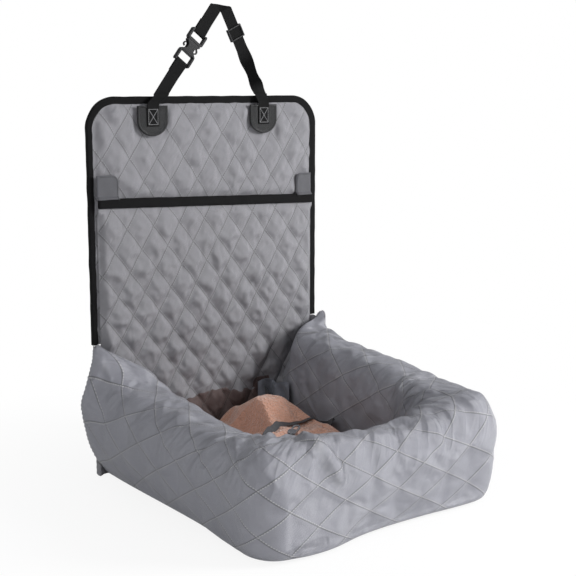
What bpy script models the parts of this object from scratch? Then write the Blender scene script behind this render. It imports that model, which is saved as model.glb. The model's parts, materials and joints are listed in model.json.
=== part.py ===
"""Dog car seat: a padded bed with a folding back, a head strap and a tether.

Metres, +Z up, the front of the bed towards -Y. The origin is the middle of the footprint, on the
seat that the bed stands on.
"""
import math

import bmesh
import bpy
from mathutils import Matrix, Vector

# Clearance that two touching pieces keep
GAP = 0.0003
# Length by which a cutter overruns the face that it leaves through
OVERRUN = 0.002
# Points closer than this are one point
WELD_DISTANCE = 0.00002

# Bed, measured over its stuffed walls
BED_WIDTH = 0.500
BED_DEPTH = 0.540
WALL_WIDTH = 0.112
REAR_BULGE = 0.018
COVER_THICKNESS = 0.004
COVER_INSET = 0.006
PAD_THICKNESS = 0.024
FOLD_HEIGHT = 0.245
FOLD_GAP = 0.0008
WALL_TIP_BELOW_FOLD = 0.005

# Crown heights along the walls, as shares of the fold's height: front corner to rear end
LEFT_CROWN_SHARES = (0.775, 0.715, 0.700, 0.710, 0.750, 0.745)
RIGHT_CROWN_SHARES = (0.790, 0.810, 0.850, 0.880, 0.890, 0.900)
FRONT_CROWN_SHARES = (0.775, 0.690, 0.655, 0.645, 0.660, 0.700, 0.790)
# Powers of the stuffed section's curve: small is boxy, one is round
FOOT_RISE_POWER_SHARE = 0.30
FOOT_SIDE_POWER_SHARE = 0.22
CROWN_RISE_POWER_SHARE = 0.80
CROWN_SIDE_POWER_SHARE = 0.62
# Girth of that section beside that of the box round it
SECTION_GIRTH_SHARE = 0.92
# Shares of a side wall's length over which its rear end bulges, and over which its tip rises
BULGE_LENGTH_SHARE = 0.625
TIP_LENGTH_SHARE = 0.143
# Places from the inside, -1, to the outside, 1, of a wall between which its tip is pinched up
TIP_PINCH_SHARES = (-0.1, 0.8)
# Places from the foot, -1, to the crown, 1, between which a wall's quilting fades in
QUILT_FADE_SHARES = (-0.8, -0.3)

# Back: a padded panel above the fold, with a bound edge
BACK_WIDTH = 0.500
BACK_HEIGHT = 0.686
BACK_THICKNESS = 0.020
CORNER_RADIUS = 0.056
PANEL_THICKNESS = 0.016
EDGE_THICKNESS = 0.010
BINDING_WIDTH = 0.0155
BINDING_THICKNESS = 0.0012

# Diamond quilting of the back and of the walls
QUILT_WIDTH = 0.058
QUILT_HEIGHT = 0.083
QUILT_PUFF = 0.004
QUILT_BELOW_TOP = 0.026
WALL_QUILT_WIDTH = 0.100
WALL_QUILT_HEIGHT = 0.060
WALL_QUILT_PUFF = 0.0024

# Flat pocket sewn over the lower part of the back
POCKET_BELOW_TOP = 0.202
POCKET_DROP = 0.017
POCKET_THICKNESS = 0.003
BAND_HEIGHT = 0.017
BAND_THICKNESS = 0.0022
PATCH_WIDTH = 0.037
PATCH_HEIGHT = 0.040
PATCH_THICKNESS = 0.0012
PATCH_ROUND_SHARE = 0.75
# Power of the rolled tape's rounded section
BAND_ROUND_POWER_SHARE = 0.5

# Strap tabs on the back
TAB_WIDTH = 0.062
TAB_LENGTH = 0.054
TAB_THICKNESS = 0.002
TAB_ROUND_SHARE = 0.85
LEFT_TAB_X = -0.126
RIGHT_TAB_X = 0.117

# Webbing of the head strap and its path in the plane of the back
WEBBING_WIDTH = 0.025
WEBBING_THICKNESS = 0.0014
SEWN_LENGTH = 0.032
STRAP_LEFT_X = -0.105
STRAP_RIGHT_X = 0.1132
STRAP_RISE = 0.004
APEX_X = 0.0245
APEX_RISE = 0.152
APEX_TILT = 0.012
NOTCH_RADIUS = 0.001
APEX_DRAW_SHARE = 0.42
# Twist of the right run below the adjuster: places as shares of the run, with degrees of turn
TWIST_PLACE_SHARES = (0.10, 0.50, 0.56, 0.61, 0.66, 0.71, 0.76, 0.81, 0.86, 0.92)
TWIST_DEGREES = (0, 0, 18, 40, 62, 80, 80, 66, 44, 16)

# Side-release buckle
BUCKLE_LENGTH = 0.070
BUCKLE_WIDTH = 0.0345
BUCKLE_THICKNESS = 0.010
BUCKLE_PLACE = 0.1045
SOCKET_LENGTH = 0.046
SOCKET_FRAME_LENGTH = 0.022
PLUG_FRAME_LENGTH = 0.0235
BAR_LENGTH = 0.0045
BAR_THICKNESS = 0.0030
RAIL_WIDTH = 0.0036
SOCKET_CAVITY_WIDTH = 0.0256
SOCKET_CAVITY_HEIGHT = 0.0044
SPINE_WIDTH = 0.005
PRONG_WIDTH = 0.0024
PRONG_KNUCKLE_RADIUS = 0.0018
BUCKLE_EDGE = 0.0008
# Half outlines, as shares of the piece's length and of the buckle's half width
SOCKET_SIDE_SHARES = (
    (0, 0.870), (0.016, 0.957), (0.049, 1), (0.430, 1), (0.517, 0.950), (0.640, 0.493),
    (0.730, 0.463), (0.820, 0.493), (0.930, 0.844), (1, 0.870),
)
PLUG_SIDE_SHARES = ((0, 0.783), (0.095, 0.960), (0.200, 1), (0.905, 1), (0.968, 0.957), (1, 0.870))
# Centre line of a prong from its knuckle to its bowed tip, as shares of the socket's length and
# of the buckle's half width
PRONG_PATH_SHARES = (
    (1.059, 0.574), (0.945, 0.585), (0.900, 0.643), (0.860, 0.727), (0.800, 0.884), (0.745, 0.930),
    (0.700, 0.893), (0.665, 0.720),
)

# Strap adjuster on the right run
ADJUSTER_LENGTH = 0.024
ADJUSTER_WIDTH = 0.032
ADJUSTER_THICKNESS = 0.0064
ADJUSTER_BAR = 0.003
ADJUSTER_PLACE = 0.047

# Plush cushion, tether and snap hook
CUSHION_MARGIN = 0.006
CUSHION_HEIGHT = 0.068
CUSHION_EDGE = 0.030
# Share of the cushion's width, at each side, that has cells half as wide as the others
CUSHION_FINE_SHARE = 0.12
HUMP_X = 0.035
HUMP_Y = 0.120
HUMP_WIDTH = 0.075
HUMP_DEPTH = 0.060
HUMP_RISE = 0.036
RIPPLE_WIDTH = 0.023
RIPPLE_DEPTH = 0.0177
RIPPLE_RISE = 0.003
HOLLOW_X = -0.014
HOLLOW_Y = -0.026
HOLLOW_SIZE = 0.040
HOLLOW_DROP = 0.014

# Tether over the cushion and its snap hook
TETHER_WIDTH = 0.020
TETHER_THICKNESS = 0.0016
# Route of the tether over the cushion, in X and Y, with the lean of the strap in degrees
TETHER_ROUTE = (
    (0.114, 0.228, 70), (0.117, 0.195, 60), (0.118, 0.150, 50), (0.113, 0.108, 45), (0.095, 0.078, 38),
    (0.064, 0.064, 25), (0.026, 0.053, 10), (-0.021, 0.028, 0), (-0.060, -0.004, 0), (-0.086, -0.034, 0),
    (-0.095, -0.056, 0), (-0.086, -0.070, 0), (-0.068, -0.062, 0),
)
LINING_HEIGHT = 0.100
LINING_THICKNESS = 0.006

TETHER_TAIL = 0.014
TETHER_CLEARANCE = 0.0025
ANCHOR_X = 0.112
ANCHOR_HEIGHT = 0.124
ANCHOR_SIZE = 0.026
ANCHOR_THICKNESS = 0.0016

HOOK_X = -0.031
HOOK_Y = -0.037
HOOK_HEADING = 31.0
HOOK_RISE = 17.0
HOOK_LIFT = 0.0140
HOOK_WIRE = 0.0042
HOOK_WIDTH = 0.0155
HOOK_BARREL_LENGTH = 0.013
HOOK_BARREL_DEPTH = 0.008
MOUTH_LENGTH = 0.010
BOLT_TRAVEL = 0.0085
HEAD_SHARE = 1.55
EYE_WIRE = 0.0028
EYE_LENGTH = 0.011
EYE_BOSS_RADIUS = 0.0040
EYE_BOSS_LENGTH = 0.0040
PIN_RADIUS = 0.0019
BOLT_RADIUS = 0.0017
KNOB_RADIUS = 0.0016
KNOB_HEIGHT = 0.0026

# Planes worked out from the sizes above
REAR_Y = BED_DEPTH / 2
FRONT_Y = -BED_DEPTH / 2
WALL_FRONT_FACE_Y = REAR_Y - BACK_THICKNESS
PANEL_FACE_Y = REAR_Y - PANEL_THICKNESS
POCKET_FACE_Y = PANEL_FACE_Y - GAP - POCKET_THICKNESS
FOLD_AXIS_Y = POCKET_FACE_Y - QUILT_PUFF - GAP
FOLD_AXIS_Z = FOLD_HEIGHT
EDGE_REAR_Y = REAR_Y - BINDING_THICKNESS - GAP
EDGE_FRONT_Y = EDGE_REAR_Y - EDGE_THICKNESS
COVER_TOP = COVER_THICKNESS
PAD_TOP = COVER_TOP + GAP + PAD_THICKNESS
PANEL_BOTTOM = FOLD_HEIGHT + FOLD_GAP / 2
INNER_HALF_WIDTH = BED_WIDTH / 2 - WALL_WIDTH
STRAP_Y = (EDGE_FRONT_Y + EDGE_REAR_Y) / 2 - EDGE_THICKNESS
STRAP_Z = BACK_HEIGHT + STRAP_RISE
APEX_HEIGHT = BACK_HEIGHT + APEX_RISE
POCKET_TOP = BACK_HEIGHT - POCKET_BELOW_TOP

COLOURS = {
    "quilted cloth": ((0.20, 0.20, 0.22), 0.55, 0.0),
    "lining cloth": ((0.075, 0.05, 0.045), 0.8, 0.0),
    "black tape": ((0.010, 0.010, 0.011), 0.75, 0.0),
    "patch cloth": ((0.13, 0.13, 0.145), 0.55, 0.0),
    "faux leather": ((0.045, 0.047, 0.055), 0.42, 0.0),
    "webbing": ((0.009, 0.009, 0.010), 0.8, 0.0),
    "plastic": ((0.014, 0.015, 0.018), 0.35, 0.0),
    "plush": ((0.62, 0.36, 0.24), 0.95, 0.0),
    "steel": ((0.70, 0.71, 0.73), 0.22, 1.0),
}


def clear_scene():
    """Remove what the scene holds before anything is built."""
    for thing in list(bpy.data.objects):
        bpy.data.objects.remove(thing, do_unlink=True)


def material(piece, kind):
    """Make the piece its own material from the table of colours."""
    colour, roughness, metallic = COLOURS[kind]
    made = bpy.data.materials.new(piece)
    made.use_nodes = True
    shader = made.node_tree.nodes["Principled BSDF"]
    shader.inputs["Base Color"].default_value = (*colour, 1.0)
    shader.inputs["Roughness"].default_value = roughness
    shader.inputs["Metallic"].default_value = metallic
    return made


def finish_mesh(piece, form, kind, smooth=True):
    """Turn a bmesh into the named object, its faces pointing out."""
    bmesh.ops.recalc_face_normals(form, faces=form.faces[:])
    mesh = bpy.data.meshes.new(piece)
    form.to_mesh(mesh)
    form.free()
    if smooth:
        mesh.shade_smooth()
        mesh.set_sharp_from_angle(angle=math.radians(35))
    made = bpy.data.objects.new(piece, mesh)
    made.data.materials.append(material(piece, kind))
    bpy.context.collection.objects.link(made)
    return made


def pivot(name, place, moved, turn=None, carrier=None):
    """Put an empty on a joint's axis, carry the moved pieces by it and hang it on its carrier."""
    empty = bpy.data.objects.new(name, None)
    bpy.context.collection.objects.link(empty)
    frame = Matrix.Translation(place)
    if turn is not None:
        frame = frame @ turn.to_4x4()
    empty.matrix_world = frame
    for thing in moved:
        thing.parent = empty
        thing.matrix_parent_inverse = frame.inverted()
    if carrier is not None:
        empty.parent = carrier
        empty.matrix_parent_inverse = carrier.matrix_basis.inverted()
    return empty


def loft(piece, rings, kind, closed=False, flat_caps=False):
    """Skin a list of rings of points into one closed body, with a flat or a fanned cap at each end."""
    form = bmesh.new()
    rows = [[form.verts.new(point) for point in ring] for ring in rings]
    count = len(rows[0])
    pairs = list(zip(rows, rows[1:]))
    if closed:
        pairs.append((rows[-1], rows[0]))
    for near, far in pairs:
        for index in range(count):
            following = (index + 1) % count
            form.faces.new((near[index], near[following], far[following], far[index]))
    if flat_caps:
        form.faces.new(rows[0])
        form.faces.new(rows[-1])
    elif not closed:
        for row in (rows[0], rows[-1]):
            middle = form.verts.new(sum((vertex.co for vertex in row), Vector()) / count)
            for index in range(count):
                form.faces.new((row[index], row[(index + 1) % count], middle))
    return finish_mesh(piece, form, kind)


def extrude_outline(piece, outline, near, far, kind, frame=None, smooth=False):
    """Extrude an outline given in the frame's first two axes from near to far along the third."""
    form = bmesh.new()
    bottom = [form.verts.new((u, v, near)) for u, v in outline]
    face = form.faces.new(bottom)
    grown = bmesh.ops.extrude_face_region(form, geom=[face])
    raised = [item for item in grown["geom"] if isinstance(item, bmesh.types.BMVert)]
    bmesh.ops.translate(form, verts=raised, vec=Vector((0, 0, far - near)))
    if frame is not None:
        bmesh.ops.transform(form, matrix=frame, verts=form.verts[:])
    return finish_mesh(piece, form, kind, smooth)


def cutter_box(name, low, high, frame):
    """Make a box between two corners as a guide that only cuts."""
    form = bmesh.new()
    bmesh.ops.create_cube(form, size=1.0)
    low = Vector(low)
    high = Vector(high)
    size = high - low
    for vertex in form.verts:
        vertex.co = Vector([low[axis] + (vertex.co[axis] + 0.5) * size[axis] for axis in range(3)])
    bmesh.ops.transform(form, matrix=frame, verts=form.verts[:])
    made = finish_mesh(name, form, "plastic", smooth=False)
    made.hide_render = True
    made.display_type = "WIRE"
    return made


def rod(name, start, end, radius, kind, sides=16):
    """Make a round rod between two points."""
    axis = Vector(end) - Vector(start)
    turn = axis.to_track_quat("Z", "Y").to_matrix().to_4x4()
    frame = Matrix.Translation((Vector(start) + Vector(end)) / 2) @ turn
    form = bmesh.new()
    bmesh.ops.create_cone(form, segments=sides, radius1=radius, radius2=radius, depth=axis.length,
                          cap_ends=True)
    bmesh.ops.transform(form, matrix=frame, verts=form.verts[:])
    return finish_mesh(name, form, kind)


def as_guide(thing):
    """Mark an object as a guide that isn't part of the product."""
    thing.hide_render = True
    thing.display_type = "WIRE"
    return thing


def combine(target, other, operation):
    """Join a guide to the target, or cut it away."""
    step = target.modifiers.new(f"{operation} {other.name}", "BOOLEAN")
    step.operation = operation
    step.object = as_guide(other)
    step.solver = "EXACT"


def soften(target, width, segments=2):
    """Close the cuts' seams and round the sharp edges."""
    weld = target.modifiers.new("closed seams", "WELD")
    weld.merge_threshold = WELD_DISTANCE
    step = target.modifiers.new("rounded edges", "BEVEL")
    step.width = width
    step.segments = segments
    step.limit_method = "ANGLE"
    step.angle_limit = math.radians(40)


def blend_table(shares, place):
    """Read an evenly spaced table at a place from 0 to 1, eased between its entries."""
    spot = max(0.0, min(1.0, place)) * (len(shares) - 1)
    index = min(int(spot), len(shares) - 2)
    step = spot - index
    step = step * step * (3 - 2 * step)
    return shares[index] * (1 - step) + shares[index + 1] * step


def ease(value):
    """Rise from 0 to 1 smoothly."""
    value = max(0.0, min(1.0, value))
    return value * value * (3 - 2 * value)


def ramp(value, start, end):
    """Rise smoothly from 0 at the start to 1 at the end."""
    return ease((value - start) / (end - start))


def diamond(across, along, width, height):
    """Rise of a quilted diamond from 0 on its stitch lines to 1 in its middle."""
    first = abs(math.sin(math.pi * (across / width + along / height)))
    second = abs(math.sin(math.pi * (across / width - along / height)))
    return math.sqrt(first * second)


# Stuffed walls of the bed


def wall_ring(half, foot, crown, sides):
    """Evenly spaced points round a stuffed section: a flat foot, full sides and a round crown."""
    fine = 12 * sides
    tall = (crown - foot) / 2
    section = []
    for index in range(fine + 1):
        angle = 2 * math.pi * index / fine - math.pi / 2
        across = math.cos(angle)
        up = math.sin(angle)
        if up < 0:
            side_power, rise_power = FOOT_SIDE_POWER_SHARE, FOOT_RISE_POWER_SHARE
        else:
            side_power, rise_power = CROWN_SIDE_POWER_SHARE, CROWN_RISE_POWER_SHARE
        offset = half * math.copysign(abs(across) ** side_power, across)
        height = foot + tall * (1 + math.copysign(abs(up) ** rise_power, up))
        section.append((offset, height, across, up))
    girths = [0.0]
    for before, after in zip(section, section[1:]):
        girths.append(girths[-1] + math.dist(before[:2], after[:2]))
    ring = []
    place = 0
    for side in range(sides):
        wanted = girths[-1] * side / sides
        while girths[place + 1] <= wanted:
            place += 1
        ring.append(section[place])
    return ring


def wall_point(start, ahead, outward, run, offset, share, trim):
    """Place a point of a wall that runs straight and then round its half of the corner."""
    arc = max(offset, 0.0) * math.pi / 4
    length = run + arc + min(offset, 0.0)
    place = share * length
    if place <= run or offset <= 0:
        return start + ahead * (place - trim * share) + outward * offset
    turn = (place - run) / offset
    corner = start + ahead * run
    return corner + outward * offset * math.cos(turn) + ahead * (offset * math.sin(turn)) - \
        (ahead - outward) * (trim * share / 2)


def wall_sides():
    """Points round a wall's section, four to each quilted diamond."""
    girth = 2 * (WALL_WIDTH + FOLD_HEIGHT * FRONT_CROWN_SHARES[0]) * SECTION_GIRTH_SHARE
    return 4 * max(4, round(girth / WALL_QUILT_HEIGHT))


def wall_fullness(station, side, up, fade):
    """Rise of a wall's quilting, whose stitch lines cross at every fourth point each way."""
    return WALL_QUILT_PUFF * fade * ramp(up, *QUILT_FADE_SHARES) * diamond(station, side, 4, 4)


def build_side_wall(piece, side, crown_shares):
    """Left or right wall, from the back to the middle of its front corner."""
    half = WALL_WIDTH / 2 - WALL_QUILT_PUFF
    foot = COVER_TOP + GAP
    sides = wall_sides()
    centre_x = side * (BED_WIDTH / 2 - WALL_WIDTH / 2)
    rear = WALL_FRONT_FACE_Y - GAP
    run = rear - (FRONT_Y + WALL_WIDTH / 2)
    stations = round(run / (WALL_QUILT_WIDTH / 4))
    start = Vector((centre_x, rear, 0))
    rings = []
    for station in range(stations + 1):
        share = station / stations
        crown = FOLD_HEIGHT * blend_table(crown_shares, 1 - share)
        rear_share = ramp(share, BULGE_LENGTH_SHARE, 0)
        tip_share = ramp(share, TIP_LENGTH_SHARE, 0)
        fade = 0 if station in (0, stations) else 1
        ring = []
        for index, (offset, height, across, up) in enumerate(wall_ring(half, foot, crown, sides)):
            fullness = wall_fullness(station, index, up, fade)
            offset += fullness * across
            height += fullness * max(up, 0.0)
            if across > 0:
                bulge = math.sin(math.pi * min(1.0, height / FOLD_HEIGHT))
                offset += REAR_BULGE * rear_share * bulge * across
            if up > 0:
                top = FOLD_HEIGHT - WALL_TIP_BELOW_FOLD
                height += (top - height) * tip_share * up * ramp(offset / half, *TIP_PINCH_SHARES)
            place = wall_point(start, Vector((0, -1, 0)), Vector((side, 0, 0)), run, offset, share, GAP)
            ring.append((place.x, place.y, height))
        rings.append(ring)
    return loft(piece, rings, "quilted cloth")


def build_front_wall():
    """Front wall between the middles of the two front corners."""
    half = WALL_WIDTH / 2 - WALL_QUILT_PUFF
    foot = COVER_TOP + GAP
    sides = wall_sides()
    run = BED_WIDTH / 2 - WALL_WIDTH / 2
    stations = 2 * round((run + half * math.pi / 4) / (WALL_QUILT_WIDTH / 4))
    start = Vector((0, FRONT_Y + WALL_WIDTH / 2, 0))
    rings = []
    for station in range(stations + 1):
        share = 2 * station / stations - 1
        crown = FOLD_HEIGHT * blend_table(FRONT_CROWN_SHARES, station / stations)
        fade = 0 if station in (0, stations) else 1
        ring = []
        for index, (offset, height, across, up) in enumerate(wall_ring(half, foot, crown, sides)):
            fullness = wall_fullness(station, index, up, fade)
            offset += fullness * across
            height += fullness * max(up, 0.0)
            ahead = Vector((math.copysign(1, share), 0, 0))
            place = wall_point(start, ahead, Vector((0, -1, 0)), run, offset, abs(share), GAP)
            ring.append((place.x, place.y, height))
        rings.append(ring)
    return loft("front_wall", rings, "quilted cloth")


def rounded_outline(half_width, front, rear, front_radius, steps=6):
    """Footprint with square rear corners and round front corners, in X and Y."""
    outline = [(half_width, rear), (-half_width, rear)]
    for side in (-1, 1):
        corner = Vector((side * (half_width - front_radius), front + front_radius))
        for step in range(steps + 1):
            angle = math.pi / 2 * step / steps
            if side > 0:
                angle = math.pi / 2 - angle
            outline.append((corner.x + side * front_radius * math.cos(angle),
                            corner.y - front_radius * math.sin(angle)))
    return outline


def build_floor():
    """Bottom cover under the whole bed and the floor pad between its walls."""
    half = BED_WIDTH / 2 - COVER_INSET
    radius = WALL_WIDTH / 2 - COVER_INSET
    cover = rounded_outline(half, FRONT_Y + COVER_INSET, REAR_Y, radius)
    extrude_outline("bottom_cover", cover, 0, COVER_THICKNESS, "quilted cloth")
    inner = INNER_HALF_WIDTH - GAP - WALL_QUILT_PUFF
    front = FRONT_Y + WALL_WIDTH + GAP + WALL_QUILT_PUFF
    rear = WALL_FRONT_FACE_Y - GAP
    pad = [(inner, rear), (-inner, rear), (-inner, front), (inner, front)]
    extrude_outline("floor_pad", pad, COVER_TOP + GAP, PAD_TOP, "lining cloth")


# Quilted panels: a grid on the front, plain sides and a flat rear


def stations_between(low, high, phase, pitch):
    """Both ends of a field and, between them, the places of a pattern four to each diamond."""
    step = pitch / 4
    first = math.ceil((low + step / 3 - phase) / step)
    last = math.floor((high - step / 3 - phase) / step)
    return [low] + [phase + step * index for index in range(first, last + 1)] + [high]


def quilt_columns(half):
    """Columns of the back's quilting over a half width."""
    return stations_between(-half, half, 0, QUILT_WIDTH)


def quilt_rows(low, high):
    """Rows of the back's quilting between two heights."""
    return stations_between(low, high, BACK_HEIGHT - QUILT_BELOW_TOP, QUILT_HEIGHT)


def back_quilt(x, z):
    """Quilting of the back at a place, 0 on its stitch lines and 1 amid a diamond."""
    return diamond(x, z - BACK_HEIGHT + QUILT_BELOW_TOP, QUILT_WIDTH, QUILT_HEIGHT)


def quilted_slab(piece, rows, columns, face, rear, puff, kind):
    """Closed slab whose front is a grid raised by puff(x, z)."""
    form = bmesh.new()
    front_rows = []
    rear_rows = []
    for z in rows:
        front_row = []
        rear_row = []
        for x in columns:
            front_row.append(form.verts.new((x, face - puff(x, z), z)))
            edge = x in (columns[0], columns[-1]) or z in (rows[0], rows[-1])
            rear_row.append(form.verts.new((x, rear, z)) if edge else None)
        front_rows.append(front_row)
        rear_rows.append(rear_row)
    for near, far in zip(front_rows, front_rows[1:]):
        for column in range(len(columns) - 1):
            form.faces.new((near[column], near[column + 1], far[column + 1], far[column]))
    front_loop = front_rows[0] + [row[-1] for row in front_rows[1:-1]] + front_rows[-1][::-1]
    front_loop += [row[0] for row in front_rows[-2:0:-1]]
    rear_loop = rear_rows[0] + [row[-1] for row in rear_rows[1:-1]] + rear_rows[-1][::-1]
    rear_loop += [row[0] for row in rear_rows[-2:0:-1]]
    for index in range(len(front_loop)):
        following = (index + 1) % len(front_loop)
        form.faces.new((front_loop[index], front_loop[following], rear_loop[following], rear_loop[index]))
    form.faces.new(rear_loop)
    return finish_mesh(piece, form, kind)


def back_half_width(z, inset=0.0):
    """Half width of the back's outline at a height, drawn in by an inset."""
    half = BACK_WIDTH / 2 - inset
    radius = CORNER_RADIUS - inset
    level = BACK_HEIGHT - CORNER_RADIUS
    if z <= level:
        return half
    rise = min(z - level, radius)
    return half - radius + math.sqrt(max(0.0, radius * radius - rise * rise))


def corner_rows(inset, steps=6):
    """Heights that share the top corner's arc into even angles."""
    radius = CORNER_RADIUS - inset
    level = BACK_HEIGHT - CORNER_RADIUS
    return [level + radius * math.sin(math.pi / 2 * step / steps) for step in range(1, steps + 1)]


def panel_puff(x, z):
    """Quilting of the back above its pocket, flat below the tape and under the corner patches."""
    inset = BINDING_WIDTH + GAP
    from_side = back_half_width(z, inset) - abs(x)
    from_top = BACK_HEIGHT - inset - z
    band_top = pocket_line(x) + BAND_HEIGHT
    above_pocket = z - band_top - QUILT_HEIGHT / 4
    fade = ease(from_side / QUILT_PUFF / 4) * ease(from_top / QUILT_PUFF / 4) * ease(above_pocket / QUILT_WIDTH * 4)
    beside_patch = BACK_WIDTH / 2 - BINDING_WIDTH - PATCH_WIDTH - QUILT_WIDTH / 4 - abs(x)
    above_patch = above_pocket - PATCH_HEIGHT - POCKET_DROP / 2
    fade *= ease(max(beside_patch, above_patch) / QUILT_PUFF)
    return QUILT_PUFF * fade * back_quilt(x, z)


def build_back_panel():
    """Padded panel: its edge is pressed thin, so that the binding lies flush with the rear."""
    inset = BINDING_WIDTH + GAP
    full = BACK_WIDTH / 2 - inset
    places = [x / full for x in quilt_columns(full)]
    columns = len(places) - 1
    level = BACK_HEIGHT - CORNER_RADIUS
    rows = [PANEL_BOTTOM] + quilt_rows(POCKET_TOP + BAND_HEIGHT / 2, level)
    inner_rows = rows + corner_rows(inset)
    outer_rows = rows + corner_rows(0.0)
    form = bmesh.new()

    def grid_point(index, column, outer, y):
        z = outer_rows[index] if outer else inner_rows[index]
        half = back_half_width(z, 0.0 if outer else inset)
        return form.verts.new((half * places[column], y, z))

    last = len(inner_rows) - 1
    front = []
    for z in inner_rows:
        row = []
        half = back_half_width(z, inset)
        for place in places:
            x = half * place
            row.append(form.verts.new((x, PANEL_FACE_Y - panel_puff(x, z), z)))
        front.append(row)
    for near, far in zip(front, front[1:]):
        for column in range(columns):
            form.faces.new((near[column], near[column + 1], far[column + 1], far[column]))
    path = [(index, 0) for index in range(last + 1)]
    path += [(last, column) for column in range(1, columns + 1)]
    path += [(index, columns) for index in range(last - 1, -1, -1)]
    face_loop = [front[index][column] for index, column in path]
    loops = [face_loop]
    loops.append([grid_point(index, column, False, EDGE_FRONT_Y) for index, column in path])
    loops.append([grid_point(index, column, True, EDGE_FRONT_Y) for index, column in path])
    loops.append([grid_point(index, column, True, EDGE_REAR_Y) for index, column in path])
    loops.append([grid_point(index, column, False, EDGE_REAR_Y) for index, column in path])
    loops.append([grid_point(index, column, False, REAR_Y) for index, column in path])
    for near, far in zip(loops, loops[1:]):
        for index in range(len(path) - 1):
            form.faces.new((near[index], near[index + 1], far[index + 1], far[index]))
    bottom = front[0][1:-1]
    form.faces.new(loops[-1])
    ends = [loop[0] for loop in loops][::-1] + bottom + [loop[-1] for loop in loops]
    form.faces.new(ends)
    return finish_mesh("back_panel", form, "quilted cloth")


def back_outline():
    """Points and outward directions up the left side, over the top and down the right side."""
    level = BACK_HEIGHT - CORNER_RADIUS
    middle = BACK_WIDTH / 2 - CORNER_RADIUS
    steps = 8
    path = [(-BACK_WIDTH / 2, PANEL_BOTTOM, -1.0, 0.0)]
    for step in range(steps + 1):
        angle = math.pi / 2 * step / steps
        out_x = -math.cos(angle)
        out_z = math.sin(angle)
        path.append((-middle + CORNER_RADIUS * out_x, level + CORNER_RADIUS * out_z, out_x, out_z))
    path += [(-x, z, -out_x, out_z) for x, z, out_x, out_z in reversed(path)]
    return path


def build_edge_binding():
    """Folded tape round the edge: a channel that grips the thin rim of the panel."""
    front = EDGE_FRONT_Y - GAP
    rear = EDGE_REAR_Y + GAP
    thick = BINDING_THICKNESS
    profile = [
        (-BINDING_WIDTH, front - thick), (0, front - thick), (GAP + thick, front), (GAP + thick, rear),
        (0, rear + thick), (-BINDING_WIDTH, rear + thick), (-BINDING_WIDTH, rear), (GAP, rear),
        (GAP, front), (-BINDING_WIDTH, front),
    ]
    rings = []
    for x, z, out_x, out_z in back_outline():
        rings.append([(x + out_x * offset, y, z + out_z * offset) for offset, y in profile])
    return loft("edge_binding", rings, "black tape", flat_caps=True)


def pocket_line(x):
    """Height of the pocket's top edge, which sags to one side."""
    return POCKET_TOP - POCKET_DROP * (x / BACK_WIDTH)


def build_pocket():
    """Quilted pocket layer, the tape round its top edge and the two corner patches."""
    half = BACK_WIDTH / 2 - BINDING_WIDTH - 2 * GAP
    columns = quilt_columns(half)
    bottom = PANEL_BOTTOM + FOLD_GAP
    level_rows = quilt_rows(bottom, POCKET_TOP - POCKET_DROP)
    form = bmesh.new()
    front = []
    for row in level_rows[:-1] + [None]:
        line = []
        for x in columns:
            z = pocket_line(x) - GAP if row is None else row
            fade = ease((half - abs(x)) / QUILT_PUFF / 3) * ease((z - bottom) / QUILT_PUFF)
            rise = 0.0 if row is None else QUILT_PUFF * fade * back_quilt(x, z)
            line.append(form.verts.new((x, POCKET_FACE_Y - rise, z)))
        front.append(line)
    for near, far in zip(front, front[1:]):
        for column in range(len(columns) - 1):
            form.faces.new((near[column], near[column + 1], far[column + 1], far[column]))
    loop = front[0] + [row[-1] for row in front[1:-1]] + front[-1][::-1] + [row[0] for row in front[-2:0:-1]]
    rear = [form.verts.new((vertex.co.x, PANEL_FACE_Y - GAP, vertex.co.z)) for vertex in loop]
    for index in range(len(loop)):
        following = (index + 1) % len(loop)
        form.faces.new((loop[index], loop[following], rear[following], rear[index]))
    form.faces.new(rear)
    made = [finish_mesh("pocket_panel", form, "quilted cloth")]

    rings = []
    thick = POCKET_THICKNESS / 2 + BAND_THICKNESS
    middle_y = PANEL_FACE_Y - GAP - thick
    for side in (-1, 1):
        x = side * half
        low = pocket_line(x) + GAP
        ring = []
        for index in range(12):
            angle = 2 * math.pi * index / 12
            across = math.copysign(abs(math.cos(angle)) ** BAND_ROUND_POWER_SHARE, math.cos(angle))
            up = math.copysign(abs(math.sin(angle)) ** BAND_ROUND_POWER_SHARE, math.sin(angle))
            ring.append((x, middle_y + thick * across, low + BAND_HEIGHT / 2 * (1 + up)))
        rings.append(ring)
    made.append(loft("pocket_band", rings, "black tape"))
    for name, side in (("corner_patch_left", -1), ("corner_patch_right", 1)):
        made.append(build_corner_patch(name, side, side * half))
    return made


def build_corner_patch(name, side, edge):
    """Rounded patch over the end of the pocket's tape."""
    inner = edge - side * PATCH_WIDTH
    low = pocket_line(side * BACK_WIDTH / 2) + BAND_HEIGHT + 2 * GAP
    if side < 0:
        low = pocket_line(inner) + BAND_HEIGHT + 2 * GAP
        low = max(low, pocket_line(edge) + BAND_HEIGHT + 2 * GAP)
    else:
        low = max(low, pocket_line(inner) + BAND_HEIGHT + 2 * GAP)
    top = low + PATCH_HEIGHT
    outline = [(edge, low), (inner, low)]
    radius = PATCH_WIDTH * PATCH_ROUND_SHARE
    for step in range(7):
        angle = math.pi / 2 * step / 6
        outline.append((inner + side * radius * (1 - math.cos(angle)),
                        top - radius + radius * math.sin(angle)))
    outline.append((edge, top))
    frame = Matrix(((1, 0, 0, 0), (0, 0, -1, 0), (0, 1, 0, 0), (0, 0, 0, 1)))
    near = -(PANEL_FACE_Y - GAP)
    return extrude_outline(name, outline, near, near + PATCH_THICKNESS, "patch cloth", frame)


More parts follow.
